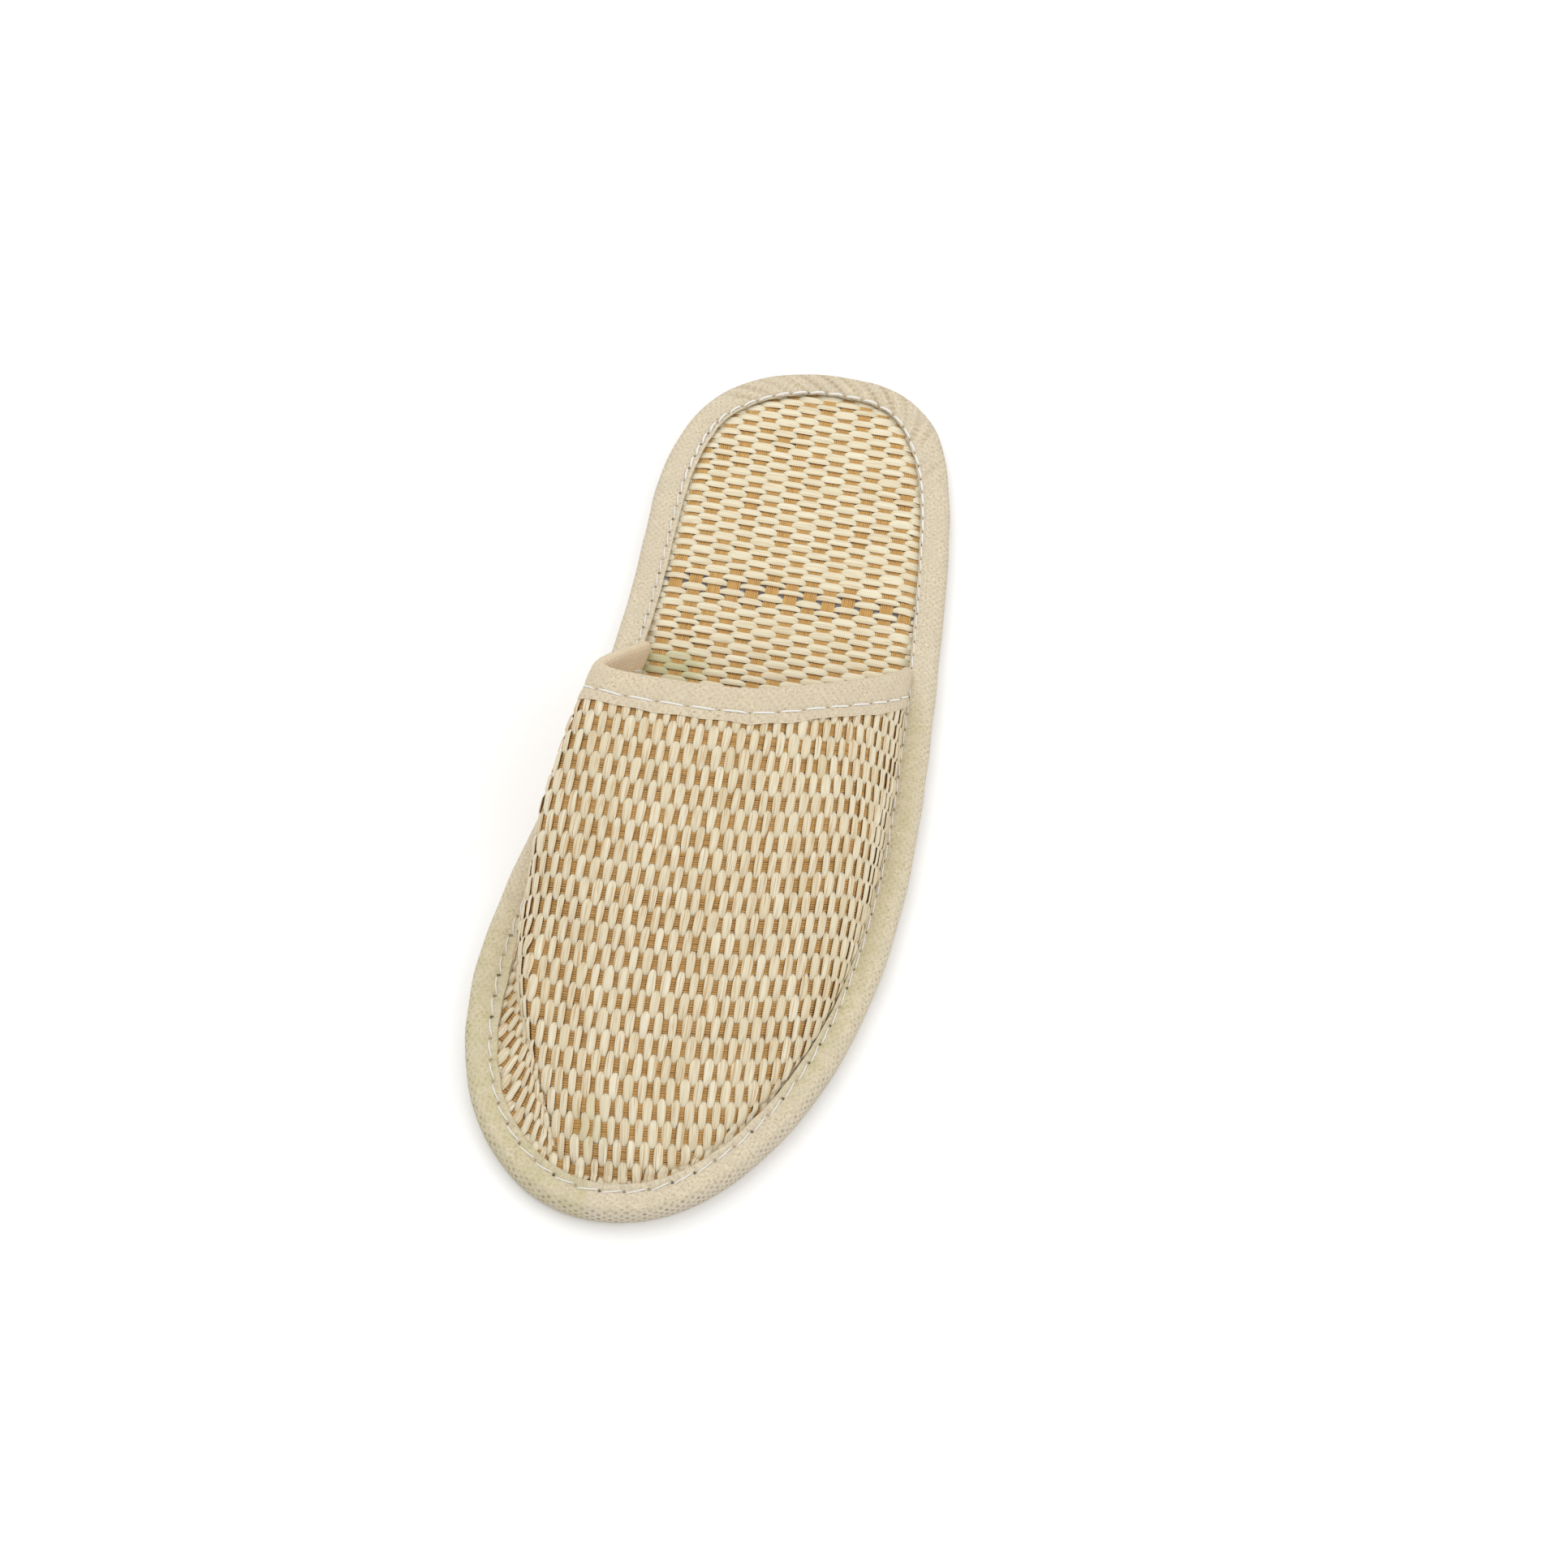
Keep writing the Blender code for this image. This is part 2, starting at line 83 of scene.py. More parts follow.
ARCH = {                        # heights of the upper at even angles, and its medial bulge
    "station":      (100.0, 128.0, 146.0, 164.0, 188.0, 212.0, 236.0, 254.0, 268.0, 275.4),
    "medial_low":   (30.0, 32.0, 34.0, 33.0, 26.0, 15.5, 11.2, 10.0, 9.3, 7.3),
    "medial_mid":   (44.0, 46.0, 46.0, 43.0, 34.5, 24.5, 16.5, 12.5, 9.6, 7.3),
    "medial_high":  (47.0, 48.5, 48.0, 45.0, 37.0, 28.5, 21.0, 16.3, 12.0, 7.3),
    "crown":        (43.0, 45.0, 45.0, 42.0, 35.5, 28.5, 22.5, 18.0, 13.0, 7.3),
    "lateral_high": (36.0, 37.0, 37.5, 36.0, 30.5, 25.0, 20.0, 16.3, 12.0, 7.3),
    "lateral_mid":  (27.0, 27.5, 28.5, 28.5, 25.0, 20.0, 15.5, 13.0, 10.3, 7.3),
    "lateral_low":  (17.0, 17.5, 18.5, 19.0, 17.0, 14.0, 11.5, 10.2, 9.4, 7.3),
    "bulge":        (8.0, 10.0, 12.0, 13.0, 11.0, 5.0, 1.0, 0.0, 0.0, 0.0),
}
ARCH_COLUMNS = tuple(ARCH)[1:-1]
ARCH_ANGLES = -90.0 + 22.5 * np.arange(9)

FOLD_LINE = {                   # the foot of the medial fold
    "station": (196.0, 206.0, 212.0, 217.0, 222.0, 230.0, 236.0, 243.0, 248.0, 252.0, 256.0,
                259.0, 263.0, 266.0, 270.0, 273.0, 280.0),
    "offset":  (-40.2, -40.6, -40.5, -39.6, -38.2, -35.6, -32.9, -29.0, -25.9, -23.2, -20.4,
                -18.2, -15.6, -14.3, -13.6, -13.4, -13.4),
}
FOLD_START = 214.0
FOLD_END, FOLD_SLOPE = 264.0, 0.36           # the fold's wall rises from its end to the heel
FOLD_WALL = 2.6                              # how far the fold's rounded wall leans in
FOLD_TOP = 8.9                               # height of the fold's end
FOOT_SPREAD, FOOT_RISE = (0.7, 1.3), 4.0     # how the wall splays at its two feet
MAT_INSET, WOVEN_INSET = 6.6, 7.2            # where the two weaves end under the tape
LOW_WALL, HIGH_INSET = 14.0, 30.0            # above this height the wall is far inside


def smooth_step(share):
    share = np.clip(share, 0.0, 1.0)
    return share * share * (3 - 2 * share)


def ramp(at, start, end):
    """A smooth rise from 0 at the start to 1 at the end, which may lie before the start."""
    return smooth_step((at - start) / (end - start))


def bump(away, width, power=2):
    """1 in the middle, fading over the width."""
    return np.exp(-(away / width) ** power)


def unit(vectors):
    return vectors / np.maximum(np.linalg.norm(vectors, axis=-1, keepdims=True), 1e-9)


def travelled(points):
    """Distances run along lines of points, from their start."""
    steps = np.linalg.norm(np.diff(points, axis=-2), axis=-1)
    return np.concatenate([np.zeros(steps.shape[:-1] + (1,)), np.cumsum(steps, axis=-1)], -1)


def paired(first, second):
    return np.stack(np.broadcast_arrays(first, second), -1)


def across_grid(points):
    """Normals of a grid of points."""
    return unit(np.cross(np.gradient(points, axis=0), np.gradient(points, axis=1)))


def read_curve(knots, values, at):
    """Smooth curve through the values at the knots, read at many places at once."""
    knots = np.asarray(knots, float)
    at = np.clip(np.asarray(at, float), knots[0], knots[-1])
    values = np.broadcast_to(np.asarray(values, float), at.shape + (len(knots),))
    last = len(knots) - 1
    first = np.clip(np.searchsorted(knots, at, side="left") - 1, 0, last - 1)

    def value(k):
        return np.take_along_axis(values, k[..., None], -1)[..., 0]

    def slope(k):
        before, after = np.maximum(k - 1, 0), np.minimum(k + 1, last)
        return (value(after) - value(before)) / (knots[after] - knots[before])

    span = knots[first + 1] - knots[first]
    share = (at - knots[first]) / span
    rise = value(first + 1) - value(first)
    a = slope(first) * span - rise
    b = rise - slope(first + 1) * span
    return value(first) + share * rise + share * (1 - share) * (a * (1 - share) + b * share)


def read_table(table, name, station):
    return read_curve(table["station"], table[name], station)


OUTLINE_TURNS = np.arccos(1 - 2 * np.array(OUTLINE["station"]) / LENGTH)
TURN_STEP = 0.004


def outline_point(turn):
    """Points of the sole's outline: turn 0 is the heel, pi the toe, over the lateral side."""
    around = np.mod(turn, 2 * np.pi)
    side = np.where(around <= np.pi, 1.0, -1.0)
    from_heel = np.where(side > 0, around, 2 * np.pi - around)
    spine = read_curve(OUTLINE_TURNS, OUTLINE["spine"], from_heel)
    fullness = read_curve(OUTLINE_TURNS, OUTLINE["fullness"], from_heel)
    station = LENGTH / 2 * (1 - np.cos(from_heel))
    return np.stack([station, spine + side * fullness * np.sin(from_heel)], -1)


def rim(turn, inset):
    """Points of the outline moved inward by the inset."""
    along = outline_point(turn + TURN_STEP) - outline_point(turn - TURN_STEP)
    inward = np.stack([along[..., 1], -along[..., 0]], -1)
    inward /= np.linalg.norm(inward, axis=-1, keepdims=True)
    return outline_point(turn) + inward * np.asarray(inset, float)[..., None]


def bisect(low, high, is_before):
    """The values between low and high where is_before stops holding."""
    low, high = np.array(low, float), np.array(high, float)
    for _ in range(36):
        middle = (low + high) / 2
        before = is_before(middle)
        low, high = np.where(before, middle, low), np.where(before, high, middle)
    return (low + high) / 2


def toe_tip(inset):
    return rim(np.array(np.pi), inset)


def two_sides(start, inset):
    """A reader of the inset outline's middle and half width, from a station to the toe."""
    stations = start + (toe_tip(inset)[0] - start) * np.sin(np.pi / 2 * np.arange(61) / 60)
    lines = []
    for side in (1, -1):
        zero = np.zeros_like(stations)
        turn = bisect(zero, zero + np.pi, lambda t: rim(side * t, inset)[..., 0] < stations)
        lines.append(rim(side * turn, inset)[..., 1])

    def read(station):
        lateral, medial = (read_curve(stations, line, station) for line in lines)
        return (lateral + medial) / 2, np.maximum((lateral - medial) / 2, 0.001)

    return read


foot = two_sides(FOOT_START, UPPER_FOOT)
toe_cap = two_sides(CAP_START, CAP_INSET)


def cap(station):
    """The upper's middle and half width, with the toe's part running on to the seam."""
    share = ramp(station, CAP_START, CAP_START + 30.0)
    return [own + (wide - own) * share for own, wide in zip(foot(station), toe_cap(station))]


def model(points):
    """Shoemaker's measures to the model's metres."""
    points = np.asarray(points, float)
    return np.stack([points[..., 1] - MIDDLE_OFFSET, LENGTH / 2 - points[..., 0],
                     points[..., 2]], -1) * MM


def arch_angle(offset, middle, half):
    return np.degrees(np.arcsin(np.clip((offset - middle) / half, -1.0, 1.0)))


def arch(station, angle):
    """Points of the upper's middle surface: angle 90 is the lateral foot, -90 the medial."""
    station, angle = np.broadcast_arrays(np.asarray(station, float), np.asarray(angle, float))
    middle, half = foot(station)
    margin = np.full(station.shape, MARGIN_MIDDLE)
    heights = [margin, *(read_table(ARCH, name, station) for name in ARCH_COLUMNS), margin]
    height = read_curve(ARCH_ANGLES, np.stack(heights, -1), angle)
    bulge = np.where(angle > 0, LATERAL_BULGE, read_table(ARCH, "bulge", station))
    bulge = bulge * np.minimum(1.0, half / 30) * np.abs(np.sin(np.radians(2 * angle))) ** 1.5
    offset = middle + half * np.sin(np.radians(angle)) + np.copysign(bulge, angle)
    return np.stack([station, offset, height], -1)


def fold_line(station):
    return read_table(FOLD_LINE, "offset", station)


def skirt_height(height, inward):
    """Heights of the skirt outside the fold, a little under the arch's own height."""
    inward = np.maximum(inward, 0.0)
    low = np.minimum(height, MARGIN_MIDDLE + 0.6 + 0.38 * inward + 0.012 * inward ** 2)
    return np.maximum(low, MARGIN_MIDDLE + CAP_RISE)


def fold_medial(point):
    """Press the medial fold of the toe into points of the upper: a skirt, then a steep wall."""
    station, offset, height = point[..., 0], point[..., 1], point[..., 2]
    middle, half = foot(station)
    inward = offset - (middle - half)
    skirt = np.maximum(fold_line(station) - (middle - half), 0.0)
    top = FOLD_TOP + FOLD_SLOPE * np.maximum(FOLD_END - station, 0.0)
    top = np.minimum(top, read_table(ARCH, "crown", station) - 0.6)
    past = np.maximum(inward - skirt - FOLD_WALL, 0.0)
    lift = (np.maximum(top, height) - height) * ramp(station, 210.0, 236.0)
    lifted = height + lift * bump(past, 11.0, 1.5)
    low = skirt_height(height, inward)
    wall = np.clip((inward - skirt) / FOLD_WALL, 0.0, 1.0)
    folded = low + (lifted - low) * (1 - (1 - wall) ** 2.2)
    share = ramp(station, 208.0, 226.0) * ramp(station, 272.0, 262.0)
    share = share * ramp(inward, 0.0, 0.6) * (offset < middle)
    point[..., 2] = height + (folded - height) * share
    return point


def wall_point(station, reach):
    """The upper's middle surface, going on flat past its feet by a millimetre per unit."""
    angle = np.clip(reach, -90.0, 90.0)
    station = np.asarray(station, float)
    middle, half = foot(station)
    wide_middle, wide_half = cap(station)
    offset = wide_middle + wide_half * np.sin(np.radians(angle))
    share = np.clip((offset - middle) / half, -1.0, 1.0)
    point = arch(station, np.degrees(np.arcsin(share)))
    point[..., 1] += offset - (middle + half * share)
    point = fold_medial(point)
    floor = MARGIN_MIDDLE + CAP_RISE * ramp(station, CAP_START, CAP_START + 30.0)
    point[..., 2] = np.maximum(point[..., 2], floor)
    spread = np.where(angle < 0, -FOOT_SPREAD[0], FOOT_SPREAD[1])
    spread = spread * bump(np.maximum(point[..., 2] - MARGIN_MIDDLE, 0.0), FOOT_RISE, 1)
    spread = spread * ramp(point[..., 0], 250.0, 215.0)
    point[..., 1] += spread + reach - angle
    return point


def collar_station(angle):
    """Where the collar's sloping edge meets the arch lines of the angles."""
    angle = np.asarray(angle, float)
    across = (1 - np.sin(np.radians(angle))) / 2
    start = COLLAR_LATERAL + (COLLAR_MEDIAL - COLLAR_LATERAL) * across

    def is_before(station):
        rise = arch(station, angle)[..., 2] - MARGIN_MIDDLE
        return station < start + COLLAR_LEAN * (1 - COLLAR_SAG * (1 - rise / COLLAR_RISE)) * rise

    return bisect(np.full(angle.shape, FOOT_START), np.full(angle.shape, WIDEST), is_before)


RIM_SAMPLES = outline_point(np.linspace(0, 2 * np.pi, 900, endpoint=False))


def from_middle(points):
    """Directions and distances of points from the middle of the outline."""
    ahead = points[:, 0] - LENGTH / 2
    return np.arctan2(points[:, 1], ahead), np.hypot(ahead, points[:, 1])


def inset_of(points):
    """How far inside the outline points lie, in plan."""
    flat = points[..., :2].reshape(-1, 2)
    nearest = np.empty(len(flat))
    for start in range(0, len(flat), 4000):
        block = flat[start:start + 4000, None] - RIM_SAMPLES[None]
        nearest[start:start + 4000] = np.sqrt((block ** 2).sum(-1).min(1))
    around, away = from_middle(flat)
    rim_around, rim_away = from_middle(RIM_SAMPLES)
    order = np.argsort(rim_around)
    reach = np.interp(around, rim_around[order], rim_away[order], period=2 * np.pi)
    return np.where(away < reach, nearest, -nearest).reshape(points.shape[:-1])


class Wobble:
    """A smooth random line that can repeat after a length."""

    def __init__(self, random, period, waves):
        self.steps = 2 * np.pi * np.arange(1, waves + 1) / period
        self.phases = random.uniform(0, 2 * np.pi, waves)
        self.sizes = random.uniform(0.4, 1.0, waves) / math.sqrt(waves)

    def __call__(self, at):
        at = np.asarray(at, float)[..., None]
        return (self.sizes * np.sin(self.steps * at + self.phases)).sum(-1)


# ---------------------------------------------------------------- mesh helpers


def clear_selection():
    for item in bpy.context.selected_objects:
        item.select_set(False)


def make_active(piece):
    clear_selection()
    piece.select_set(True)
    bpy.context.view_layer.objects.active = piece


def edit(piece, *steps):
    """Run edit-mode steps on the whole of a piece."""
    make_active(piece)
    bpy.ops.object.mode_set(mode="EDIT")
    bpy.ops.mesh.select_all(action="SELECT")
    for step in steps:
        step()
    bpy.ops.object.mode_set(mode="OBJECT")


def outward():
    bpy.ops.mesh.normals_make_consistent(inside=False)


def join_ends():
    bpy.ops.mesh.remove_doubles(threshold=0.01 * MM)


def smooth_by_angle(piece, degrees):
    make_active(piece)
    bpy.ops.object.shade_smooth_by_angle(angle=math.radians(degrees))


def put_points(piece, points):
    piece.data.vertices.foreach_set("co", points.astype(np.float32).ravel())


def put_value(mesh, name, values):
    mesh.attributes.new(name, "FLOAT", "POINT").data.foreach_set(
        "value", np.asarray(values, np.float32).ravel())


def put_uv(mesh, name, uv):
    """Give each corner the UV of its vertex, in millimetres."""
    corners = np.empty(len(mesh.loops), np.int32)
    mesh.loops.foreach_get("vertex_index", corners)
    layer = mesh.uv_layers.get(name) or mesh.uv_layers.new(name=name)
    layer.data.foreach_set("uv", np.asarray(uv, np.float32)[corners].ravel())


def ribbon(points, uv, **values):
    """A closed ribbon: its sections' points, their UV and their values."""
    shape = points.shape[:2]
    spread = {key: np.broadcast_to(value, shape) for key, value in values.items()}
    return {"points": points, "uv": uv} | spread


def ribbons_piece(name, ribbons):
    """Join closed ribbons into one piece."""
    points, uvs, faces = [], [], []
    values = {"tone": [], "age": [], "edge": []}
    start = 0
    for part in ribbons:
        count, around = part["points"].shape[:2]
        index = start + np.arange(count * around).reshape(count, around)
        turned = np.roll(index, -1, axis=1)
        sides = np.stack([index[:-1], turned[:-1], turned[1:], index[1:]], -1).reshape(-1, 4)
        faces += sides.tolist() + [index[0][::-1].tolist(), index[-1].tolist()]
        points.append(part["points"].reshape(-1, 3))
        uvs.append(part["uv"].reshape(-1, 2))
        for key, line in values.items():
            line.append(part[key].ravel())
        start += count * around
    mesh = bpy.data.meshes.new(name)
    mesh.from_pydata(np.concatenate(points), [], faces)
    put_uv(mesh, "lay", np.concatenate(uvs))
    for key, line in values.items():
        put_value(mesh, key, np.concatenate(line))
    piece = bpy.data.objects.new(name, mesh)
    bpy.context.scene.collection.objects.link(piece)
    edit(piece, outward)
    smooth_by_angle(piece, 60)
    return piece


def cloth_piece(name, points, uv, thickness, degrees, before=(), **values):
    """A grid laid on rows of points, given its thickness inwards and closed at its edges."""
    rows, columns = points.shape[:2]
    clear_selection()
    bpy.ops.mesh.primitive_grid_add(x_subdivisions=columns - 1, y_subdivisions=rows - 1, size=1)
    piece = bpy.context.object
    piece.name = piece.data.name = name
    put_points(piece, points)
    put_uv(piece.data, "lay", uv.reshape(-1, 2))
    for layer in list(piece.data.uv_layers):
        if layer.name != "lay":
            piece.data.uv_layers.remove(layer)
    piece.data.update()
    for key, value in values.items():
        put_value(piece.data, key, np.broadcast_to(value, (rows, columns)))
    if before:
        edit(piece, *before)
    make_active(piece)
    solid = piece.modifiers.new("thickness", "SOLIDIFY")
    solid.thickness, solid.offset = thickness * MM, -1.0
    bpy.ops.object.modifier_apply(modifier=solid.name)
    edit(piece, outward)
    smooth_by_angle(piece, degrees)
    return piece


def settle(piece, node, material):
    """Hand a finished piece to the frame."""
    piece.data.materials.clear()
    piece.data.materials.append(material)
    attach(piece, "root")
    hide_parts(node)


# ---------------------------------------------------------------- node helpers


def tint(*levels):
    """A colour given from 0 to 255 as a shader's linear colour."""
    shares = [level / 255 for level in levels]
    return (*(c / 12.92 if c <= 0.04045 else ((c + 0.055) / 1.055) ** 2.4 for c in shares), 1.0)


class Value:
    """What a node puts out: it can be added to, subtracted, multiplied and divided."""

    def __init__(self, nodes, socket):
        self.nodes = nodes
        self.socket = socket

    def __add__(self, other):
        return self.nodes.math("ADD", self, other)

    def __sub__(self, other):
        return self.nodes.math("SUBTRACT", self, other)

    def __mul__(self, other):
        return self.nodes.math("MULTIPLY", self, other)

    def __truediv__(self, other):
        return self.nodes.math("DIVIDE", self, other)


class Nodes:
    """Short words for adding nodes to a tree."""

    def __init__(self, tree):
        self.tree = tree

    def feed(self, socket, value):
        if isinstance(value, Value):
            self.tree.links.new(value.socket, socket)
        else:
            socket.default_value = value

    def add(self, kind, inputs, give=0, **settings):
        """Add a node and return one of its outputs, or all of them by name."""
        node = self.tree.nodes.new(kind)
        for key, value in settings.items():
            setattr(node, key, value)
        for key, value in inputs.items():
            self.feed(node.inputs[key], value)
        if give is None:
            return {socket.name: Value(self, socket) for socket in node.outputs}
        return Value(self, node.outputs[give])

    def math(self, operation, *values, clamp=False):
        return self.add("ShaderNodeMath", dict(enumerate(values)), operation=operation,
                        use_clamp=clamp)

    def length(self, across, along):
        return self.math("SQRT", across * across + along * along)

    def mix(self, share, first, second):
        return self.add("ShaderNodeMix", {0: share, 6: first, 7: second}, 2, data_type="RGBA")

    def span(self, value, low, high, to_low=0.0, to_high=1.0):
        limits = dict(enumerate((value, low, high, to_low, to_high)))
        return self.add("ShaderNodeMapRange", limits, interpolation_type="SMOOTHSTEP")

    def layers(self, base, *coats):
        """Lay colours over a base, each by a share, or by a value between two limits."""
        for colour, share, *limits in coats:
            if limits:
                low, high, most = (*limits, 1.0)[:3]
                share = self.span(share, low, high, 0.0, most)
            base = self.mix(share, base, colour if len(colour) > 3 else tint(*colour))
        return base

    def noise(self, vector, scale, detail=2.0, roughness=0.5, give="Fac"):
        return self.add("ShaderNodeTexNoise", {
            "Vector": vector, "Scale": scale, "Detail": detail, "Roughness": roughness}, give)

    def grain(self, lay, along, across, detail=1.0, roughness=0.5):
        """Noise drawn out over a lay, with its scales along and across."""
        drawn = self.add("ShaderNodeMapping", {"Vector": lay, "Scale": (along, across, 1.0)})
        return self.noise(drawn, 1.0, detail, roughness)

    def parts(self, vector):
        return list(self.add("ShaderNodeSeparateXYZ", {"Vector": vector}, None).values())

    def bump(self, height, distance, strength):
        return self.add("ShaderNodeBump", {
            "Height": height, "Distance": distance * MM, "Strength": strength})

    def group(self, made, **inputs):
        """Place a node group, and return its outputs by name."""
        named = {key.title(): value for key, value in inputs.items()}
        return self.add("ShaderNodeGroup", named, None, node_tree=made())


class Finish(Nodes):
    """A material with its shader, and short words for what its nodes read."""

    def __init__(self, name, colour, roughness, specular=0.35):
        self.material = bpy.data.materials.new(name)
        self.material.use_nodes = True
        self.material.diffuse_color = colour
        super().__init__(self.material.node_tree)
        self.shader = self.tree.nodes["Principled BSDF"].inputs
        self.shader["Specular IOR Level"].default_value = specular
        self.dress(colour, roughness)

    def dress(self, base, roughness, normal=None):
        """Feed the shader, and return the material."""
        self.feed(self.shader["Base Color"], base)
        self.feed(self.shader["Roughness"], roughness)
        if normal is not None:
            self.feed(self.shader["Normal"], normal)
        return self.material

    def lay(self):
        return self.add("ShaderNodeUVMap", {}, uv_map="lay")

    def place(self):
        return self.add("ShaderNodeTexCoord", {}, "Object")

    def value(self, name):
        return self.add("ShaderNodeAttribute", {}, "Fac", attribute_name=name)


def node_group(outputs, **inputs):
    """Make a function that lays nodes into a node group with these sockets, built once.

    An input with no default is a vector, and every other socket is a number.
    """
    def wrap(build):
        def made():
            tree = bpy.data.node_groups.get(build.__name__)
            if tree is not None:
                return tree
            tree = bpy.data.node_groups.new(build.__name__, "ShaderNodeTree")
            for key, default in inputs.items():
                kind = "NodeSocketVector" if default is None else "NodeSocketFloat"
                socket = tree.interface.new_socket(name=key, in_out="INPUT", socket_type=kind)
                if default is not None:
                    socket.default_value = default
            for key in outputs:
                tree.interface.new_socket(name=key, in_out="OUTPUT",
                                          socket_type="NodeSocketFloat")
            nodes = Nodes(tree)
            entry = nodes.add("NodeGroupInput", {}, None)
            values = build(nodes, *(entry[key] for key in inputs))
            nodes.add("NodeGroupOutput", dict(zip(outputs, values)), None)
            return tree
        return made
    return wrap


@node_group(("Lines", "Sheen", "Height"), Lay=None, Tone=0.5, Lines=0.5)
def straw_fibres(nodes, lay, tone, lines):
    """Fine lines that run along a flat straw, some of them deep."""
    away = nodes.add("ShaderNodeCombineXYZ", {"Z": tone * 40.0})
    moved = nodes.add("ShaderNodeVectorMath", {0: lay, 1: away}, operation="ADD")
    fine = nodes.grain(moved, 0.07, 3.1, 1.5, 0.6)
    broad = nodes.grain(moved, 0.12, 1.1)
    hairs = nodes.grain(moved, 0.05, 8.0, 1.0, 0.6)
    deep = nodes.span(fine, 0.52, 0.66) * nodes.span(broad, 0.34, 0.55, 0.1, 1.0)
    drawn = nodes.math("MAXIMUM", deep, nodes.span(hairs, 0.5, 0.68, 0.0, 0.42)) * lines
    return drawn, broad, broad - drawn * 0.9


@node_group(("Dots", "Height"), Lay=None, Pitch=2.0, Row=1.0, Dot=0.33)
def embossed_dots(nodes, lay, pitch, row, dot):
    """The rows of small pressed dots of a bonded tape."""
    u, v, _ = nodes.parts(lay)
    rows = v / row
    shift = nodes.math("FLOORED_MODULO", nodes.math("FLOOR", rows), 2.0) * 0.5
    aside = (nodes.math("FRACT", u / pitch + shift) - 0.5) * pitch
    above = (nodes.math("FRACT", rows) - 0.5) * row
    dots = nodes.span(nodes.length(aside, above) / dot, 1.25, 0.55)
    return dots, dots * -1.0


@node_group(("Holes", "Pull"), Lay=None, Pitch=6.0, Row=3.0, Size=0.3)
def needle_holes(nodes, lay, pitch, row, size):
    """Holes where the needle went through, one per stitch along a row, and the dimple round each; the
    tape paints shade in both.
    """
    u, v, _ = nodes.parts(lay)
    along = (nodes.math("FRACT", u / pitch + 0.5) - 0.5) * pitch
    away = nodes.length(along * 0.75, (v - row) * 1.35)
    return nodes.span(away / size, 1.3, 0.6), nodes.span(away, 2.2, 0.2)


@node_group(("Dust",), Place=None, Low=0.001, High=0.008)
def soiling(nodes, place, low, high):
    """Grey that gathers low down and in soft patches."""
    patches = nodes.noise(place, 70.0, 3.0, 0.6)
    greyed = nodes.span(nodes.parts(place)[2], high, low) * nodes.span(patches, 0.25, 0.7, 0.45, 1.0)
    return [nodes.math("ADD", greyed, nodes.span(patches, 0.62, 0.8, 0.0, 0.18), clamp=True)]


# ---------------------------------------------------------------- materials


def straw_material(name, colours, lines, pale=0.0):
    """Flat plaited straw: cream, lined along its length, greener where it is fresher, with painted
    shade along its long edges.
    """
    nodes = Finish(name, colours.straw_light, 0.55)
    tone = nodes.value("tone")
    fibres = nodes.group(straw_fibres, lay=nodes.lay(), tone=tone, lines=lines)
    base = nodes.layers(
        nodes.mix(tone, colours.straw_dark, colours.straw_light),
        ((236, 229, 206), fibres["Sheen"], 0.35, 0.75, 0.35),
        ((246, 239, 210), pale),
        (colours.straw_line, fibres["Lines"]),
        # painted shade along the straw's long edges
        (colours.straw_line, nodes.value("edge"), 0.2, 1.0, 0.35),
        ((186, 184, 138), nodes.value("age")))
    return nodes.dress(base, nodes.span(fibres["Sheen"], 0.2, 0.8, 0.62, 0.44),
                       nodes.bump(fibres["Height"], 0.16, 0.9))


def bundle_material(name, colours, painted_fill=0.0):
    """Tan threads lying side by side, with painted shade in the grooves and gaps between them, and a
    share of painted light over them.
    """
    nodes = Finish(name, colours.thread, 0.7, 0.2)
    tone, lay = nodes.value("tone"), nodes.lay()
    twist = nodes.grain(lay, 2.4, 5.0, 2.0)
    gaps = nodes.grain(lay, 0.75, 2.2)
    base = nodes.layers(
        # painted shade in the grooves between the threads, darker still in short gaps along them
        nodes.layers(colours.thread_shade, ((72, 50, 28), gaps, 0.46, 0.62)),
        (colours.thread, tone, 0.0, 0.5),
        ((214, 172, 104), tone, 0.5, 1.0, 0.6),
        (colours.thread_shade, twist, 0.5, 0.75, 0.45),
        # painted light: lighter thread colour that lifts the shade of the mat's deep windows
        ((220, 178, 112), painted_fill))
    return nodes.dress(base, nodes.span(twist, 0.3, 0.7, 0.62, 0.8), nodes.bump(twist, 0.08, 0.7))


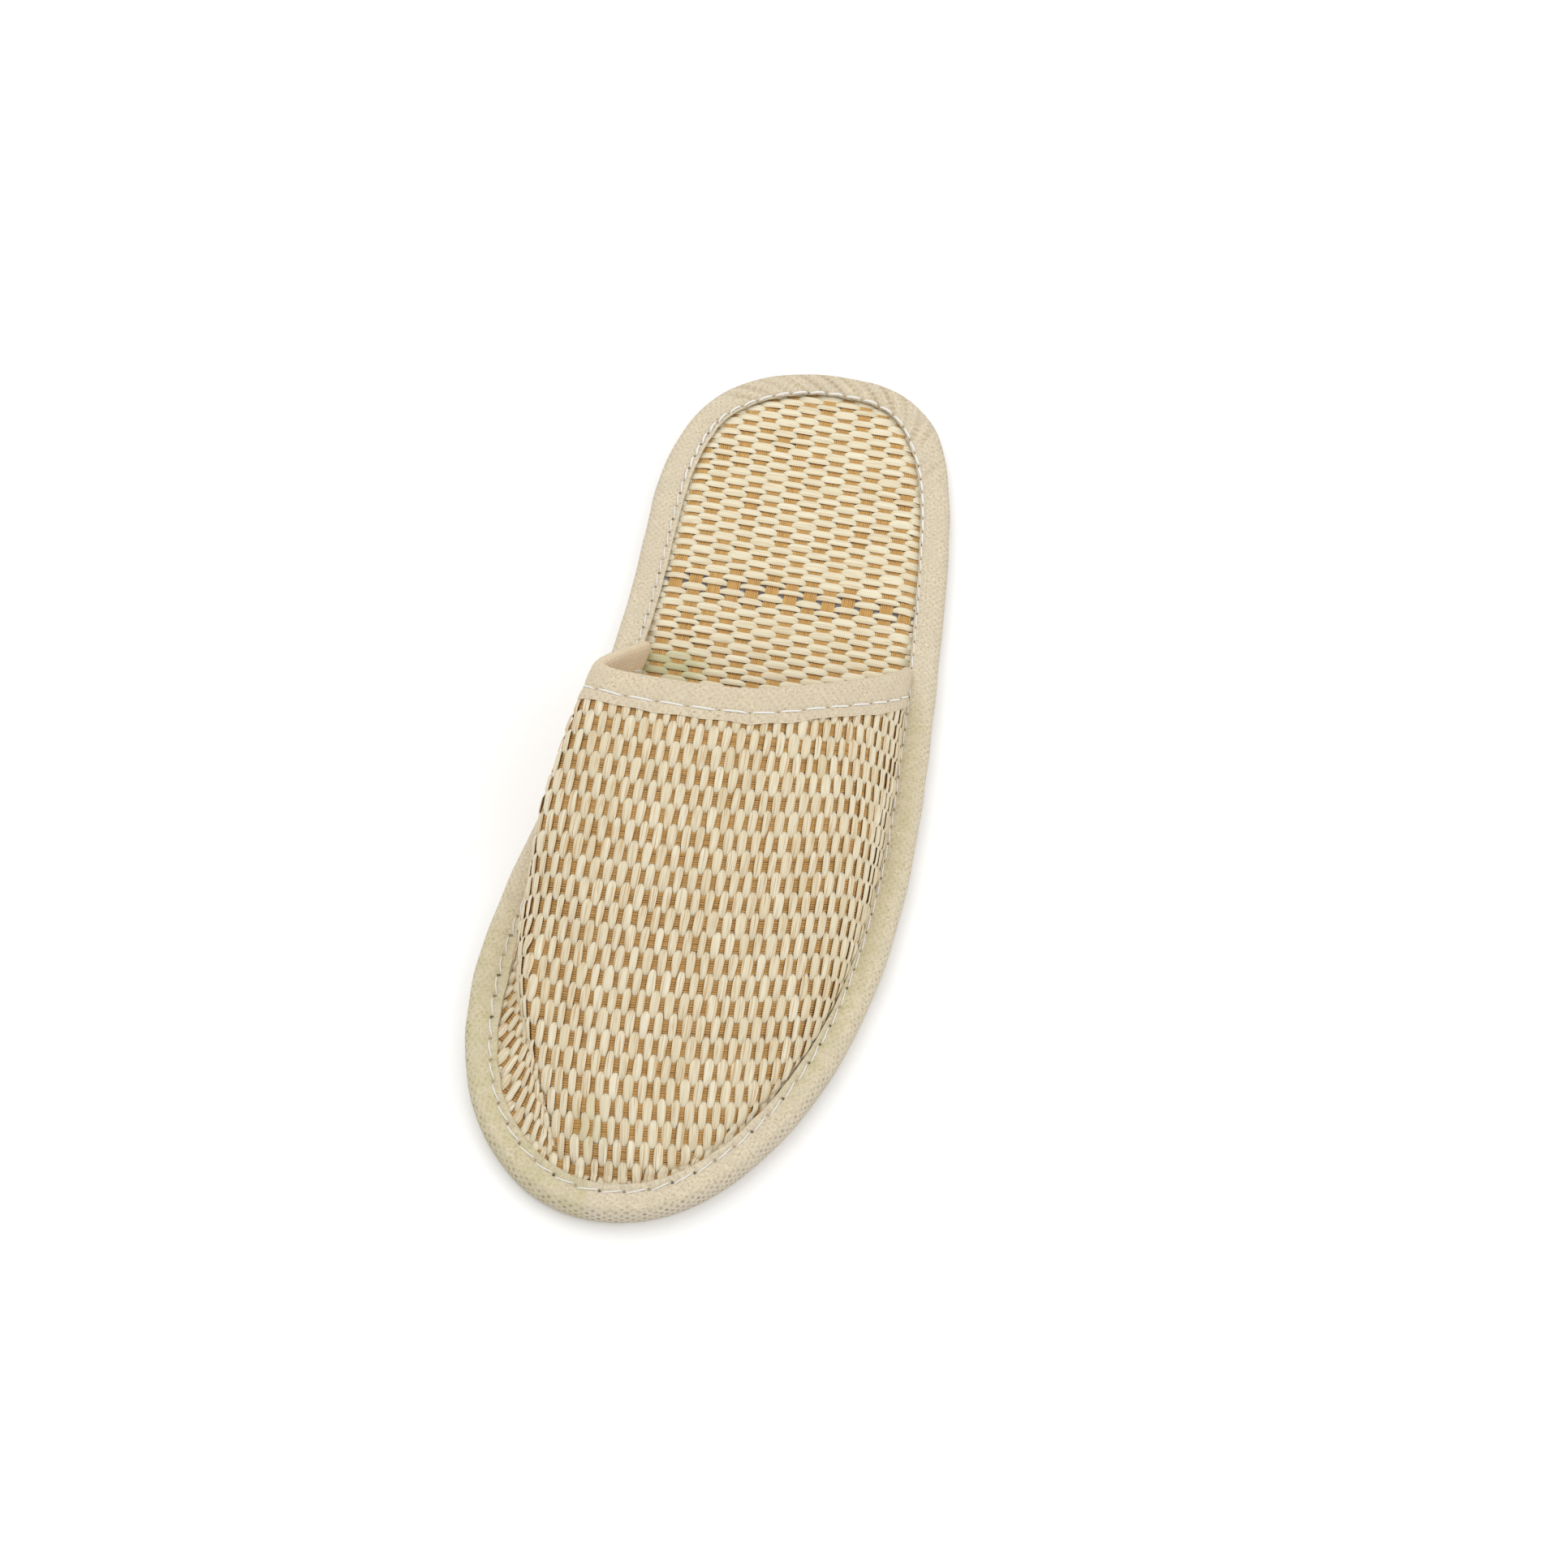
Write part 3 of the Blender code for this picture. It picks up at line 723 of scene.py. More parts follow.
def tape_material(name, colours, pitch, rows, dot_colour, hole_shade, warm):
    """Bonded tape with pressed dots and needle holes, greyer low down and in patches, with painted
    shade on its rolled side, in its pleats' creases and in and round its needle holes.
    """
    nodes = Finish(name, colours.tape, 0.85, 0.15)
    lay, place, shade_and_dots = nodes.lay(), nodes.place(), nodes.value("pressed")
    dots = nodes.group(embossed_dots, lay=lay, pitch=2.4, row=1.1, dot=0.44)
    u, v, _ = nodes.parts(lay)
    hatch = nodes.math("SINE", (u + v) * 5.6) * nodes.math("SINE", (u - v) * 5.6)
    felt = nodes.noise(place, 1500.0, 3.0, 0.7)
    cloud = nodes.noise(place, 150.0, 3.0, 0.55)
    patch = nodes.span(nodes.noise(place, 320.0, 3.0, 0.65), 0.34, 0.68, 0.35, 1.0)
    specks = nodes.span(felt, 0.56, 0.68) * nodes.span(cloud, 0.45, 0.62)
    base = nodes.layers(
        colours.tape,
        ((224, 210, 182), cloud, 0.35, 0.7),
        ((172, 158, 134), felt, 0.45, 0.68, 0.45),
        ((238, 229, 208), felt, 0.48, 0.34, 0.45),
        ((176, 158, 132), hatch, 0.2, 0.9, 0.3),
        ((204, 184, 148), warm),
        # painted shade greying the tape's rolled side and underside
        ((202, 190, 172), shade_and_dots * 0.55),
        ((146, 138, 122), specks * 0.75),
        # painted shade in the creases of the heel's pleats
        ((156, 128, 92), nodes.value("crease") * 0.7),
        ((190, 182, 136), nodes.value("stain") * patch),
        # greyer towards the bottom and in soft patches
        ((170, 162, 146), nodes.group(soiling, place=place)["Dust"] * 0.5),
        (dot_colour, dots["Dots"] * shade_and_dots * patch))
    height = felt * 0.35 + dots["Height"] * 0.7 - hatch * 0.22
    # how dark the painted shade inside the needle holes is, varied in patches
    hole_shade = nodes.span(nodes.noise(place, 110.0, 1.0), 0.36, 0.62, 0.4 * hole_shade, hole_shade)
    for row in rows:
        holes = nodes.group(needle_holes, lay=lay, pitch=pitch, row=row)
        # painted shade round each hole's pulled-in dimple, and inside the hole
        base = nodes.layers(base, ((150, 130, 104), holes["Pull"] * 0.08),
                            ((72, 64, 52), holes["Holes"] * hole_shade))
        height = height - holes["Holes"] * 1.5
    # the thin tape lets a little warm light through where the value "glow" is high
    nodes.feed(nodes.shader["Emission Color"], tint(255, 208, 160))
    nodes.feed(nodes.shader["Emission Strength"], nodes.value("glow") * 0.12)
    return nodes.dress(base, nodes.span(felt, 0.3, 0.7, 0.8, 0.94), nodes.bump(height, 0.12, 0.8))


def stitch_material(colours):
    """White polyester sewing thread with its twist."""
    nodes = Finish("stitch_thread", colours.stitch, 0.5, 0.4)
    u, v, _ = nodes.parts(nodes.lay())
    twist = nodes.math("SINE", u * 16.0 + v * 6.0) * 0.5 + 0.5
    return nodes.dress(nodes.layers(colours.stitch, ((206, 200, 192), twist * 0.35)),
                       nodes.span(twist, 0.0, 1.0, 0.45, 0.6), nodes.bump(twist, 0.05, 0.6))


def lining_material(colours):
    """Thin bonded lining with a faint cross grain."""
    nodes = Finish("lining_cloth", colours.lining, 0.9, 0.1)
    place = nodes.place()
    felt = nodes.noise(place, 1400.0, 3.0, 0.7)
    base = nodes.layers(colours.lining, ((222, 203, 172), nodes.noise(place, 60.0, 3.0), 0.35, 0.7),
                        ((186, 160, 128), felt, 0.4, 0.7, 0.3))
    return nodes.dress(base, nodes.span(felt, 0.3, 0.7, 0.85, 0.97), nodes.bump(felt, 0.1, 0.6))


def backing_material():
    """The pale felt that shows between the mat's loose straws."""
    nodes = Finish("mat_felt", tint(196, 192, 196), 0.95, 0.1)
    felt = nodes.noise(nodes.place(), 1600.0, 3.0, 0.7)
    return nodes.dress(nodes.layers(tint(214, 211, 214), ((150, 146, 152), felt)),
                       nodes.span(felt, 0.3, 0.7, 0.88, 0.98), nodes.bump(felt, 0.12, 0.6))


def cork_material(colours):
    """Pressed cork: brown grains of many sizes, dark bark specks and pale ones."""
    nodes = Finish("pressed_cork", colours.cork, 0.82, 0.2)
    place = nodes.place()
    stirred = nodes.noise(place, 420.0, give="Color")
    stir = (1.6 * MM,) * 3
    bent = nodes.add("ShaderNodeVectorMath", {0: stirred, 1: stir, 2: place},
                     operation="MULTIPLY_ADD")

    def cells(scale, give, feature="F1"):
        return nodes.add("ShaderNodeTexVoronoi", {"Vector": bent, "Scale": scale}, give,
                         feature=feature)

    kind = nodes.parts(cells(900.0, "Color"))[0]
    other = nodes.parts(cells(2200.0, "Color"))[1]
    edges = cells(900.0, "Distance", "DISTANCE_TO_EDGE")
    base = nodes.layers(
        tint(124, 88, 58),
        ((184, 148, 108), kind, 0.1, 0.9),
        ((196, 168, 128), other, 0.55, 0.95, 0.5),
        ((62, 44, 34), other, 0.2, 0.05, 0.8),
        ((92, 64, 40), edges, 0.1, 0.0, 0.55))
    return nodes.dress(base, nodes.span(kind, 0.0, 1.0, 0.74, 0.9),
                       nodes.bump(kind + edges, 0.12, 0.7))


# ---------------------------------------------------------------- weaving


STRAW_ACROSS = np.array((-1.0, -0.82, -0.36, 0.0, 0.36, 0.82, 1.0))
THREADS = 6
RIB_ACROSS = np.linspace(-1.0, 1.0, 2 * THREADS + 1)
DIP_START, DIP_END, NARROW_END = 0.36, 0.82, 0.8    # from a float's middle, in rows
STRAW_SWAY = 0.12               # how far a straw sways to its sides
STRAW_LAY, BUNDLE_LAY = 7.0, 9.0    # what sets the patterns of two neighbours apart


def band(line, spread, lift, lay, **values):
    """A ribbon laid along a line, spread to its sides and lifted along its normals."""
    centre, side, normal = (part[:, None] for part in line)
    points = centre + side * spread[..., None] * MM + normal * lift[..., None] * MM
    distance, aside = lay
    return ribbon(points, paired(distance, aside + spread), **values)


def straw_ribbon(line, half, crown, roll, phase, lay, tone, age):
    """A flat straw's sections: a low crown on top and a flat back."""
    lift = crown * (1 - np.abs(STRAW_ACROSS) ** 3) + 0.05 + roll * STRAW_ACROSS + phase
    # the value edge rises to 1 at the straw's long edges, where the material paints shade
    return band(line, STRAW_ACROSS * half, lift, lay, tone=tone, age=age,
                edge=STRAW_ACROSS ** 4)


def bundle_ribbon(random, line, half, rib, phase, lay):
    """A bundle of threads side by side: a ribbed band with a flat back."""
    count = len(RIB_ACROSS)
    peak = (np.arange(count) % 2).astype(float)
    spread = RIB_ACROSS + random.normal(0, 0.03, count) * peak
    wander = [Wobble(random, 40.0, 6)(lay[0]) for _ in RIB_ACROSS[1:-1]]
    spread = spread + 0.035 * np.pad(np.concatenate(wander, 1), ((0, 0), (1, 1)))
    ridge, groove = random.uniform(0.42, 1.0, count), random.uniform(0.0, 0.32, count)
    rounded = 1 - 0.35 * RIB_ACROSS ** 4
    lift = rib * (peak * random.uniform(0.8, 1.1, count) * rounded) + phase
    # tone is high on each thread's ridge and low in its grooves, where the material paints shade
    return band(line, spread * half, lift, lay, tone=np.where(peak > 0, ridge, groove), age=0.0,
                edge=0.0)


def stretches(inside):
    """The unbroken stretches of places that are long enough to weave."""
    edges = np.flatnonzero(np.diff(np.concatenate([[0], inside.astype(int), [0]])))
    return [slice(start, end) for start, end in zip(edges[::2], edges[1::2]) if end - start > 2]


def weave(random, sheet, looks):
    """Straws and thread bundles woven over a sheet given in strip and row numbers."""
    strips, rows = sheet["strips"], sheet["rows"]
    points, normals = sheet["points"], sheet["normals"]
    along = unit(np.gradient(points, axis=1))
    aside = unit(np.cross(normals, along))
    straws, bundles = [], []
    floats = int(rows[-1] - rows[0]) + 2
    for i in np.flatnonzero(strips % 1 == 0):
        strip = strips[i]
        own_tone, own_width = random.uniform(0.25, 0.85), random.normal(1.0, 0.05)
        own_sway = Wobble(random, 90.0, 5)
        float_tone = random.normal(0, 0.15, floats)
        float_width = random.normal(1.0, 0.1, floats)
        float_roll = random.normal(0, 0.1, floats)
        float_taper = looks["taper"] * random.normal(1.0, 0.8, floats)
        float_crown = random.uniform(0.75, 1.25, floats)
        for part in stretches(sheet["inside"][i]):
            row = rows[part, None]
            low, narrow, age = (sheet[key][i, part, None] for key in ("low", "narrow", "age"))
            away = (row + strip + 2) % 2 - 1
            nearest = np.floor((row - away - rows[0]) / 2 + 0.25).astype(int)
            nearest = np.clip(nearest, 0, floats - 1)
            top = 1 - ramp(np.abs(away), looks["square"], NARROW_END)
            over = 1 - 2 * ramp(np.abs(away), DIP_START, DIP_END)
            half = looks["straw_under"] + (looks["straw_over"] - looks["straw_under"]) * top
            half = half * own_width * (1 + (float_width[nearest] - 1) * top) / 2
            half = half * narrow * (1 - float_taper[nearest] * away * top)
            crown = looks["straw_crown"] * (0.45 + 0.55 * top) * float_crown[nearest] * low
            distance = row * sheet["row_pitch"]
            sway = own_sway(distance) * aside[i, part] * STRAW_SWAY * MM
            straws.append(straw_ribbon(
                (points[i, part] + sway, aside[i, part], normals[i, part]), half, crown,
                float_roll[nearest] * top * low, looks["lift"] + looks["wave"] * over * low,
                (distance, strip * STRAW_LAY), np.clip(own_tone + float_tone[nearest], 0.0, 1.0), age))
    for j in np.flatnonzero(np.abs(rows - np.round(rows)) < 1e-6):
        for part in stretches(sheet["inside"][:, j]):
            strip = strips[part, None]
            low = sheet["low"][part, j, None]
            over = -np.cos(np.pi * (rows[j] + strip + 1))
            bundles.append(bundle_ribbon(
                random, (points[part, j], along[part, j], normals[part, j]),
                looks["bundle"] / 2, looks["rib"] * low,
                looks["lift"] - 0.05 + looks["bundle_wave"] * over * low,
                (strip * sheet["pitch"], rows[j] * BUNDLE_LAY)))
    return straws, bundles


def sixths(first, last):
    """Row numbers with five places between each row and the next."""
    return np.arange(first * 6, last * 6 + 1) / 6.0


def mat_sheet():
    """The mat's weave: straws across it, bundles along it, turned a little."""
    pitch, row_pitch, turned = 2.07, 5.74, math.radians(6.3)
    start, first_strip, first_row = 80.0, -2.01, -0.71
    strips, rows = np.arange(-42.0, 97.0, 0.5), sixths(-10, 10)
    strip, row = np.meshgrid(strips, rows, indexing="ij")
    from_gap = strip - 0.5
    loose = 0.3 * np.tanh(from_gap / 2.2) * bump(from_gap, 12.0)
    loose += 0.2 * np.tanh(from_gap / 0.5) * bump(from_gap, 3.0)
    along = (strip + loose - first_strip) * pitch
    across = (row - first_row) * row_pitch
    station = start + along * math.cos(turned) - across * math.sin(turned)
    offset = along * math.sin(turned) + across * math.cos(turned)
    inset = inset_of(np.stack([station, offset], -1))
    pressed = ramp(inset, 8.5, 12.5)
    normals = np.zeros(station.shape + (3,))
    normals[..., 2] = 1.0
    fresh = ramp(offset, -14.0, -24.0) * bump(strip - 15.0, 2.4)
    fresh += 0.35 * bump(strip - 40.5, 1.2) * ramp(offset, -30.0, -18.0)
    return {"strips": strips, "rows": rows, "pitch": pitch, "row_pitch": row_pitch,
            "points": model(np.stack([station, offset, MAT_RIM - 0.35 + 0.5 * pressed], -1)),
            "normals": normals, "inside": inset > MAT_INSET, "low": 0.4 + 0.6 * pressed,
            "age": np.clip(fresh, 0, 0.75), "narrow": 1 - 0.16 * bump(from_gap, 2.2)}


def upper_sheet():
    """The upper's weave: straws run from the collar to the toe, bundles follow the collar."""
    pitch, row_pitch, base = 1.89, 5.68, 190.0
    start, turned, bent = 11.4, 0.157, 0.00073
    first, slant, curl = -6.77, 0.265, 0.00324
    droop, droop_start = 0.048, 36.8
    snag_strip, snag_row = -17.0, 11.9
    strips, rows = np.arange(-54.0, 44.0, 0.5), sixths(-13, 19)
    stations = np.arange(FOOT_START, LENGTH + 3.0, 0.5)
    reaches = np.concatenate([np.arange(-150.0, -90, 2), np.arange(-90.0, 0, 0.5),
                              np.arange(0.0, 90.5, 1), np.arange(92.0, 151, 2)])
    lengths = travelled(wall_point(*np.meshgrid(stations, reaches, indexing="ij")))
    lengths -= lengths[:, reaches == 0]
    place = (pitch * strips + start)[:, None]
    reach = np.concatenate([np.interp(place + turned * past + bent * past ** 2, line, reaches)
                            for past, line in zip(stations - base, lengths)], 1)
    run = travelled(wall_point(np.broadcast_to(stations, reach.shape), reach))
    run -= np.array([[np.interp(base, stations, line)] for line in run])
    row_of = (run + first + slant * place + curl * place ** 2
              - droop * np.maximum(place - droop_start, 0.0) ** 1.5) / row_pitch
    station = np.array([np.interp(rows, line, stations) for line in row_of])
    reach = np.array([np.interp(at, stations, line) for at, line in zip(station, reach)])
    points = wall_point(station, reach)
    inset = np.full(station.shape, HIGH_INSET)
    near = points[..., 2] < LOW_WALL
    inset[near] = inset_of(points[near])
    edge = collar_station(np.clip(reach, -90, 90))
    within = (row_of[:, :1] <= rows) & (row_of[:, -1:] >= rows)
    strip = strips[:, None]
    snag = bump(strip - snag_strip, 1.4) * bump(rows - snag_row, 0.8)
    points[..., 1] += 0.75 * snag * np.sin(2.6 * (rows - 11.3))
    points[..., 2] += 0.5 * snag
    soiled = 0.2 * snag + 0.3 * bump(strip + 15.2, 1.2) * bump(rows - 12.2, 0.8)
    past = fold_line(station) - points[..., 1]
    folded = station > FOLD_START
    points[..., 2] -= 0.9 * ramp(past, -0.2, 0.8) * folded
    placed = model(points)
    across = model(wall_point(station, reach + 0.4)) - model(wall_point(station, reach - 0.4))
    normals = unit(np.cross(np.gradient(placed, axis=1), across))
    for _ in range(2):
        normals[:, 1:-1] = unit(normals[:, :-2] + 2 * normals[:, 1:-1] + normals[:, 2:])
    inside = (inset > WOVEN_INSET) & (station > edge + 0.5) & within & ~(folded & (past > 1.2))
    return {"strips": strips, "rows": rows, "pitch": pitch, "row_pitch": row_pitch,
            "points": placed, "normals": normals, "inside": inside,
            "low": 0.4 + 0.6 * ramp(inset, 7.8, 9.8), "age": np.clip(soiled, 0.0, 1.0),
            "narrow": np.ones(station.shape)}


def skirt_sheet():
    """The weave of the skirt outside the medial fold, turned by the fold against the rest."""
    strips, rows = np.arange(-14.0, 28.0, 0.5), sixths(-7, 8)
    i, j = np.meshgrid(strips + 1.0, rows, indexing="ij")
    i = i - 2 * j
    station = 238.3 + 0.86 * i + 5.84 * j + 0.005 * i * i - 0.113 * i * j + 0.146 * j * j
    offset = -36.5 + 1.5 * i + 1.11 * j - 0.051 * i * i + 0.16 * i * j - 0.028 * j * j
    middle, half = foot(station)
    height = arch(station, arch_angle(offset, middle, half))[..., 2]
    past = offset - fold_line(station)
    height = skirt_height(height, offset - (middle - half)) - 0.5 * ramp(past, -1.2, 0.4)
    points = np.stack([station, offset, height], -1)
    inset = inset_of(points)
    placed = model(points)
    spacing = np.linalg.norm(np.gradient(placed, axis=0), axis=-1) / (0.5 * MM)
    return {"strips": strips, "rows": rows, "pitch": 1.85, "row_pitch": 4.8,
            "points": placed, "normals": -across_grid(placed),
            "inside": (inset > WOVEN_INSET) & (past < 0.8) & (station > FOLD_START + 1.0),
            "low": 0.4 + 0.6 * ramp(inset, 8.0, 10.5), "age": np.zeros(station.shape),
            "narrow": np.clip(spacing / 1.89, 0.6, 1.0)}


# ---------------------------------------------------------------- tape


TAPE_THICKNESS = 0.5
EDGE_SEAM = {                   # the top seam's inset, the margin past it and the stitch
    "station":        (0.0, 12.0, 30.0, 60.0, 100.0, 140.0, 190.0, 225.0, 250.0, 270.0, 285.0),
    "lateral_inset":  (8.7, 8.8, 8.6, 8.4, 7.9, 8.0, 7.3, 6.3, 5.9, 6.0, 5.9),
    "medial_inset":   (8.8, 9.1, 7.6, 7.3, 7.1, 7.0, 6.9, 6.7, 6.8, 6.1, 5.9),
    "lateral_margin": (0.5, 0.5, 0.6, 0.6, 0.5, 0.5, 0.8, 1.7, 2.1, 2.0, 2.0),
    "medial_margin":  (0.5, 0.7, 1.6, 1.8, 1.9, 2.0, 2.5, 3.2, 2.1, 2.0, 2.1),
    "stitch":         (5.6, 5.3, 4.9, 4.9, 5.1, 5.4, 5.9, 6.2, 6.3, 6.4, 6.5),
}
EDGE_STITCHES, EDGE_TURNS = 113, 864
EDGE_TOP_HEEL, EDGE_TOP_TOE = 7.85, 8.95
EDGE_UNDER = 11.0               # how far the tape reaches in under the sole
EDGE_SEAM_LINES = (3, 22)       # the lines of the tape that its two seams run along
PULLED_LINES = 8                # lines that the upper seam's stitches pull down
TOP_LINES, SIDE_LINES = 12, 16  # lines from the inner edge to the top's and the side's end
COLLAR_STITCHES = 21
COLLAR_SEAM_LINES = (4, 20)
COLLAR_PATH = (   # the tape's lines from its outer edge: (forward, out), fold at the back
    (9.3, 1.35), (8.6, 1.5), (7.2, 1.55), (6.6, 1.42), (6.25, 1.22), (5.9, 1.42), (5.0, 1.68),
    (3.6, 1.85), (2.2, 1.95), (1.0, 1.95), (0.0, 1.75), (-0.9, 1.2), (-1.3, 0.35), (-1.2, -0.6),
    (-0.6, -1.35), (0.4, -1.7), (1.8, -1.75), (3.6, -1.6), (5.2, -1.5), (5.9, -1.4),
    (6.25, -1.2), (6.6, -1.4), (7.6, -1.45), (9.0, -1.35))


def even_turns(count):
    """Turns spaced evenly along the outline, and their distances."""
    turns = np.linspace(0, 2 * np.pi, 4001)
    distance = travelled(outline_point(turns))
    at = np.linspace(0, distance[-1], count + 1)
    return np.interp(at, distance, turns), at


def edge_tape_lines(random):
    """The edge tape's points, from its inner top edge round to its under edge, and values."""
    turns, distance = even_turns(EDGE_TURNS)
    turns, length = turns[:, None], distance[-1]
    place = outline_point(turns[:, 0])
    station, lateral = place[:, :1], place[:, 1:] > 0

    def sway(size, waves):
        return size * Wobble(random, length, waves)(distance)[:, None]

    def by_side(name):
        return np.where(lateral, read_table(EDGE_SEAM, "lateral_" + name, station),
                        read_table(EDGE_SEAM, "medial_" + name, station))

    from_collar = station - np.where(lateral, COLLAR_LATERAL, COLLAR_MEDIAL)
    over = ramp(from_collar, -14.0, -3.0)
    top = EDGE_TOP_HEEL + (EDGE_TOP_TOE - EDGE_TOP_HEEL) * over
    margin = by_side("margin")
    seam = by_side("inset") + sway(0.08, 50)
    step = np.linalg.norm(np.diff(rim(turns, seam), axis=0), axis=-1)
    sewn = np.cumsum(step / read_table(EDGE_SEAM, "stitch", station[1:]), axis=0)
    sewn = np.concatenate([[[0.0]], sewn / sewn[-1]])
    inner = seam + margin + sway(0.14, 70)
    lift = (0.3 + over * (0.3 * margin - 0.14)) * (1 + sway(0.25, 60))
    under = EDGE_UNDER + sway(0.2, 60)
    profile = [
        (inner, top - 0.12 + lift), (seam + 0.65 * margin, top + 0.02 + 0.45 * lift),
        (seam + 0.3 * margin, top - 0.02 + 0.1 * lift), (seam, top - 0.12),
        (seam - 0.5, top + 0.02), (seam * 0.8, top + 0.16), (seam * 0.65, top + 0.24),
        (seam * 0.5, top + 0.2), (seam * 0.36, top + 0.05), (seam * 0.23, top - 0.22),
        (1.1, top - 0.62), (0.45, top - 1.4), (0.1, top - 2.4), (0.0, top * 0.48),
        (0.08, 2.3), (0.35, 1.3), (0.85, 0.55), (1.6, 0.14), (2.8, 0.0), (4.6, 0.0),
        (6.4, 0.02), (7.6, 0.06), (8.3, 0.42), (9.0, 0.06), (10.0, 0.02), (under, 0.04)]
    insets, heights = (np.concatenate(np.broadcast_arrays(*line), 1) for line in zip(*profile))
    nominal = len(turns) // 6
    width = travelled(np.stack([insets[nominal], heights[nominal]], -1))
    lines = np.arange(len(profile))
    on_top = lines < TOP_LINES

    heel = ramp(station, 45.0, 19.0)
    stitch = 2 * np.pi * EDGE_STITCHES * sewn
    slanted = (stitch + (0.5 + 0.7 * heel) * (seam - insets) + sway(0.8, 30)) / (2 * np.pi)
    ridge = (0.5 - 0.5 * np.cos(2 * np.pi * slanted)) ** 1.6
    ridge = ridge + 0.75 * heel * (slanted % 1.0 - ridge)
    strong = np.clip(0.75 + sway(0.6, 36), 0.15, 1.4)
    fading = smooth_step((insets - 0.5 + 1.2 * heel) / (6.5 - 1.5 * heel)) * on_top
    pleats = 0.06 + 0.6 * heel + 0.36 * ramp(station, 225.0, 255.0)
    heights = heights + pleats * strong * (ridge - 0.35) * fading
    # painted shade along the creases of the heel's pleats, where occlusion darkens them
    crease = bump((slanted + 0.5) % 1.0 - 0.5, 0.13)
    crease = crease * heel ** 3 * np.clip(1.7 * strong - 0.6, 0.0, 1.0) * np.sqrt(fading)
    heights = heights - 0.11 * np.cos(stitch) * bump(insets - seam, 1.2) * (lines < PULLED_LINES)
    raised = 1.15 * bump(from_collar - 4.0, 6.0, 4)
    heights = heights + raised * ramp(insets, 0.0, 5.0) * on_top

    swell = np.maximum(sway(0.2, 46), -0.12)
    swell = swell + 1.1 * bump(station - 14.0, 12.0) * lateral
    swell = swell + 0.7 * bump(station - 52.0, 24.0) * ~lateral
    insets = insets - swell * bump(heights - top * 0.6, 3.0) * (insets < 2.6)
    points = np.concatenate([rim(turns, insets), np.maximum(heights, 0.0)[..., None]], -1)
    points[-1] = points[0]

    walked = ramp(station, 104.0, 118.0) * ramp(station, 256.0, 226.0) * lateral
    kicked = ramp(station, 196.0, 226.0) * ~lateral
    stain = 0.04 + 0.6 * walked * bump(insets - 5.4, 3.4) + 0.6 * kicked
    rolled = 0.4 + 0.45 * ramp(station, 215.0, 245.0)
    # this value is high on the tape's rolled side and underside, where the material greys it as
    # painted shade and shows its embossed dots
    pressed = np.where(lines < SIDE_LINES, 0.2 + rolled * ramp(lines, 8.0, 12.0), 0.95)
    values = {"stain": 0.03 + stain * (lines < SIDE_LINES), "pressed": pressed, "crease": crease}
    return points, paired(length * sewn, width), values


def collar_tape_lines(random):
    """The collar tape's points, from its outer lower edge over the fold, and values."""
    reach = np.concatenate([np.linspace(95.0, 90.0, 6)[:-1], np.linspace(90, -90, 261),
                            np.linspace(-90.0, -95.0, 6)[1:]])
    station = collar_station(np.clip(reach, -90, 90))
    edge = wall_point(station, reach)
    along = unit(np.gradient(edge, axis=0))
    ahead = wall_point(station + 1.0, reach) - edge
    slant = np.linalg.norm(np.cross(along, ahead), axis=-1)
    normal = unit(np.cross(ahead, along))
    normal *= np.sign(normal[len(normal) // 2, 2])
    blurred = normal.copy()
    for _ in range(60):
        blurred[1:-1] = (blurred[:-2] + 2 * blurred[1:-1] + blurred[2:]) / 4
    low = bump(np.minimum(np.abs(edge[:, 2:] - MARGIN_MIDDLE), 40), 5.0, 1)
    normal = unit(normal * (1 - low) + blurred * low)
    behind = unit(np.cross(normal, along))
    behind *= np.where((behind * ahead).sum(-1) > 0, -1.0, 1.0)[:, None]
    distance = travelled(edge)
    wave = Wobble(random, 90.0, 9)
    puff = Wobble(random, 110.0, 7)
    pull = 0.12 * np.cos(2 * np.pi * distance / (distance[-1] / COLLAR_STITCHES))
    lines = []
    for forward, out in COLLAR_PATH:
        swing = 0.25 * wave(distance) * max(forward - 6.0, 0.0) / 3.0
        stand = out * (1 + 0.06 * puff(distance + 5 * out) * (abs(out) > 1.3))
        stand = stand - pull * np.sign(out) * bump(forward - 6.25, 1.2)
        if forward > 0:
            at = wall_point(station + (forward + swing) / slant, reach)
        else:
            at = edge - behind * forward
        lines.append(at + normal * stand[:, None])
    glow = np.where(np.arange(len(edge))[:, None] < len(edge) / 2, 0.35, 1.0)
    # the collar's value greys its tape a little all over and sets how strongly its dots show
    values = {"pressed": 0.28, "glow": glow * ramp(np.arange(len(COLLAR_PATH)), 10.0, 14.0)}
    uv = paired(distance[:, None], travelled(np.array(COLLAR_PATH)))
    return np.stack(lines, 1), uv, values


def fold_tape(name, node, colours, lines, seam_lines, count, *looks, before=(outward,)):
    """Make a tape, hand it to the frame, and return its seams' place and the stitch's length."""
    points, uv, values = lines
    pitch = uv[-1, 0, 0] / count
    seams = [float(uv[0, line, 1]) for line in seam_lines]
    tape = cloth_piece(name, model(points), uv, TAPE_THICKNESS, 50, before, **values)
    settle(tape, node, tape_material(name, colours, pitch, seams, *looks))
    return seams, pitch


def read_grid(points, row, column):
    """Points of a grid read between its rows and columns."""
    i = np.clip(np.floor(row).astype(int), 0, len(points) - 2)
    j = np.clip(np.floor(column).astype(int), 0, points.shape[1] - 2)
    a, b = (row - i)[..., None], (column - j)[..., None]
    return ((points[i, j] * (1 - a) + points[i + 1, j] * a) * (1 - b)
            + (points[i, j + 1] * (1 - a) + points[i + 1, j + 1] * a) * b)


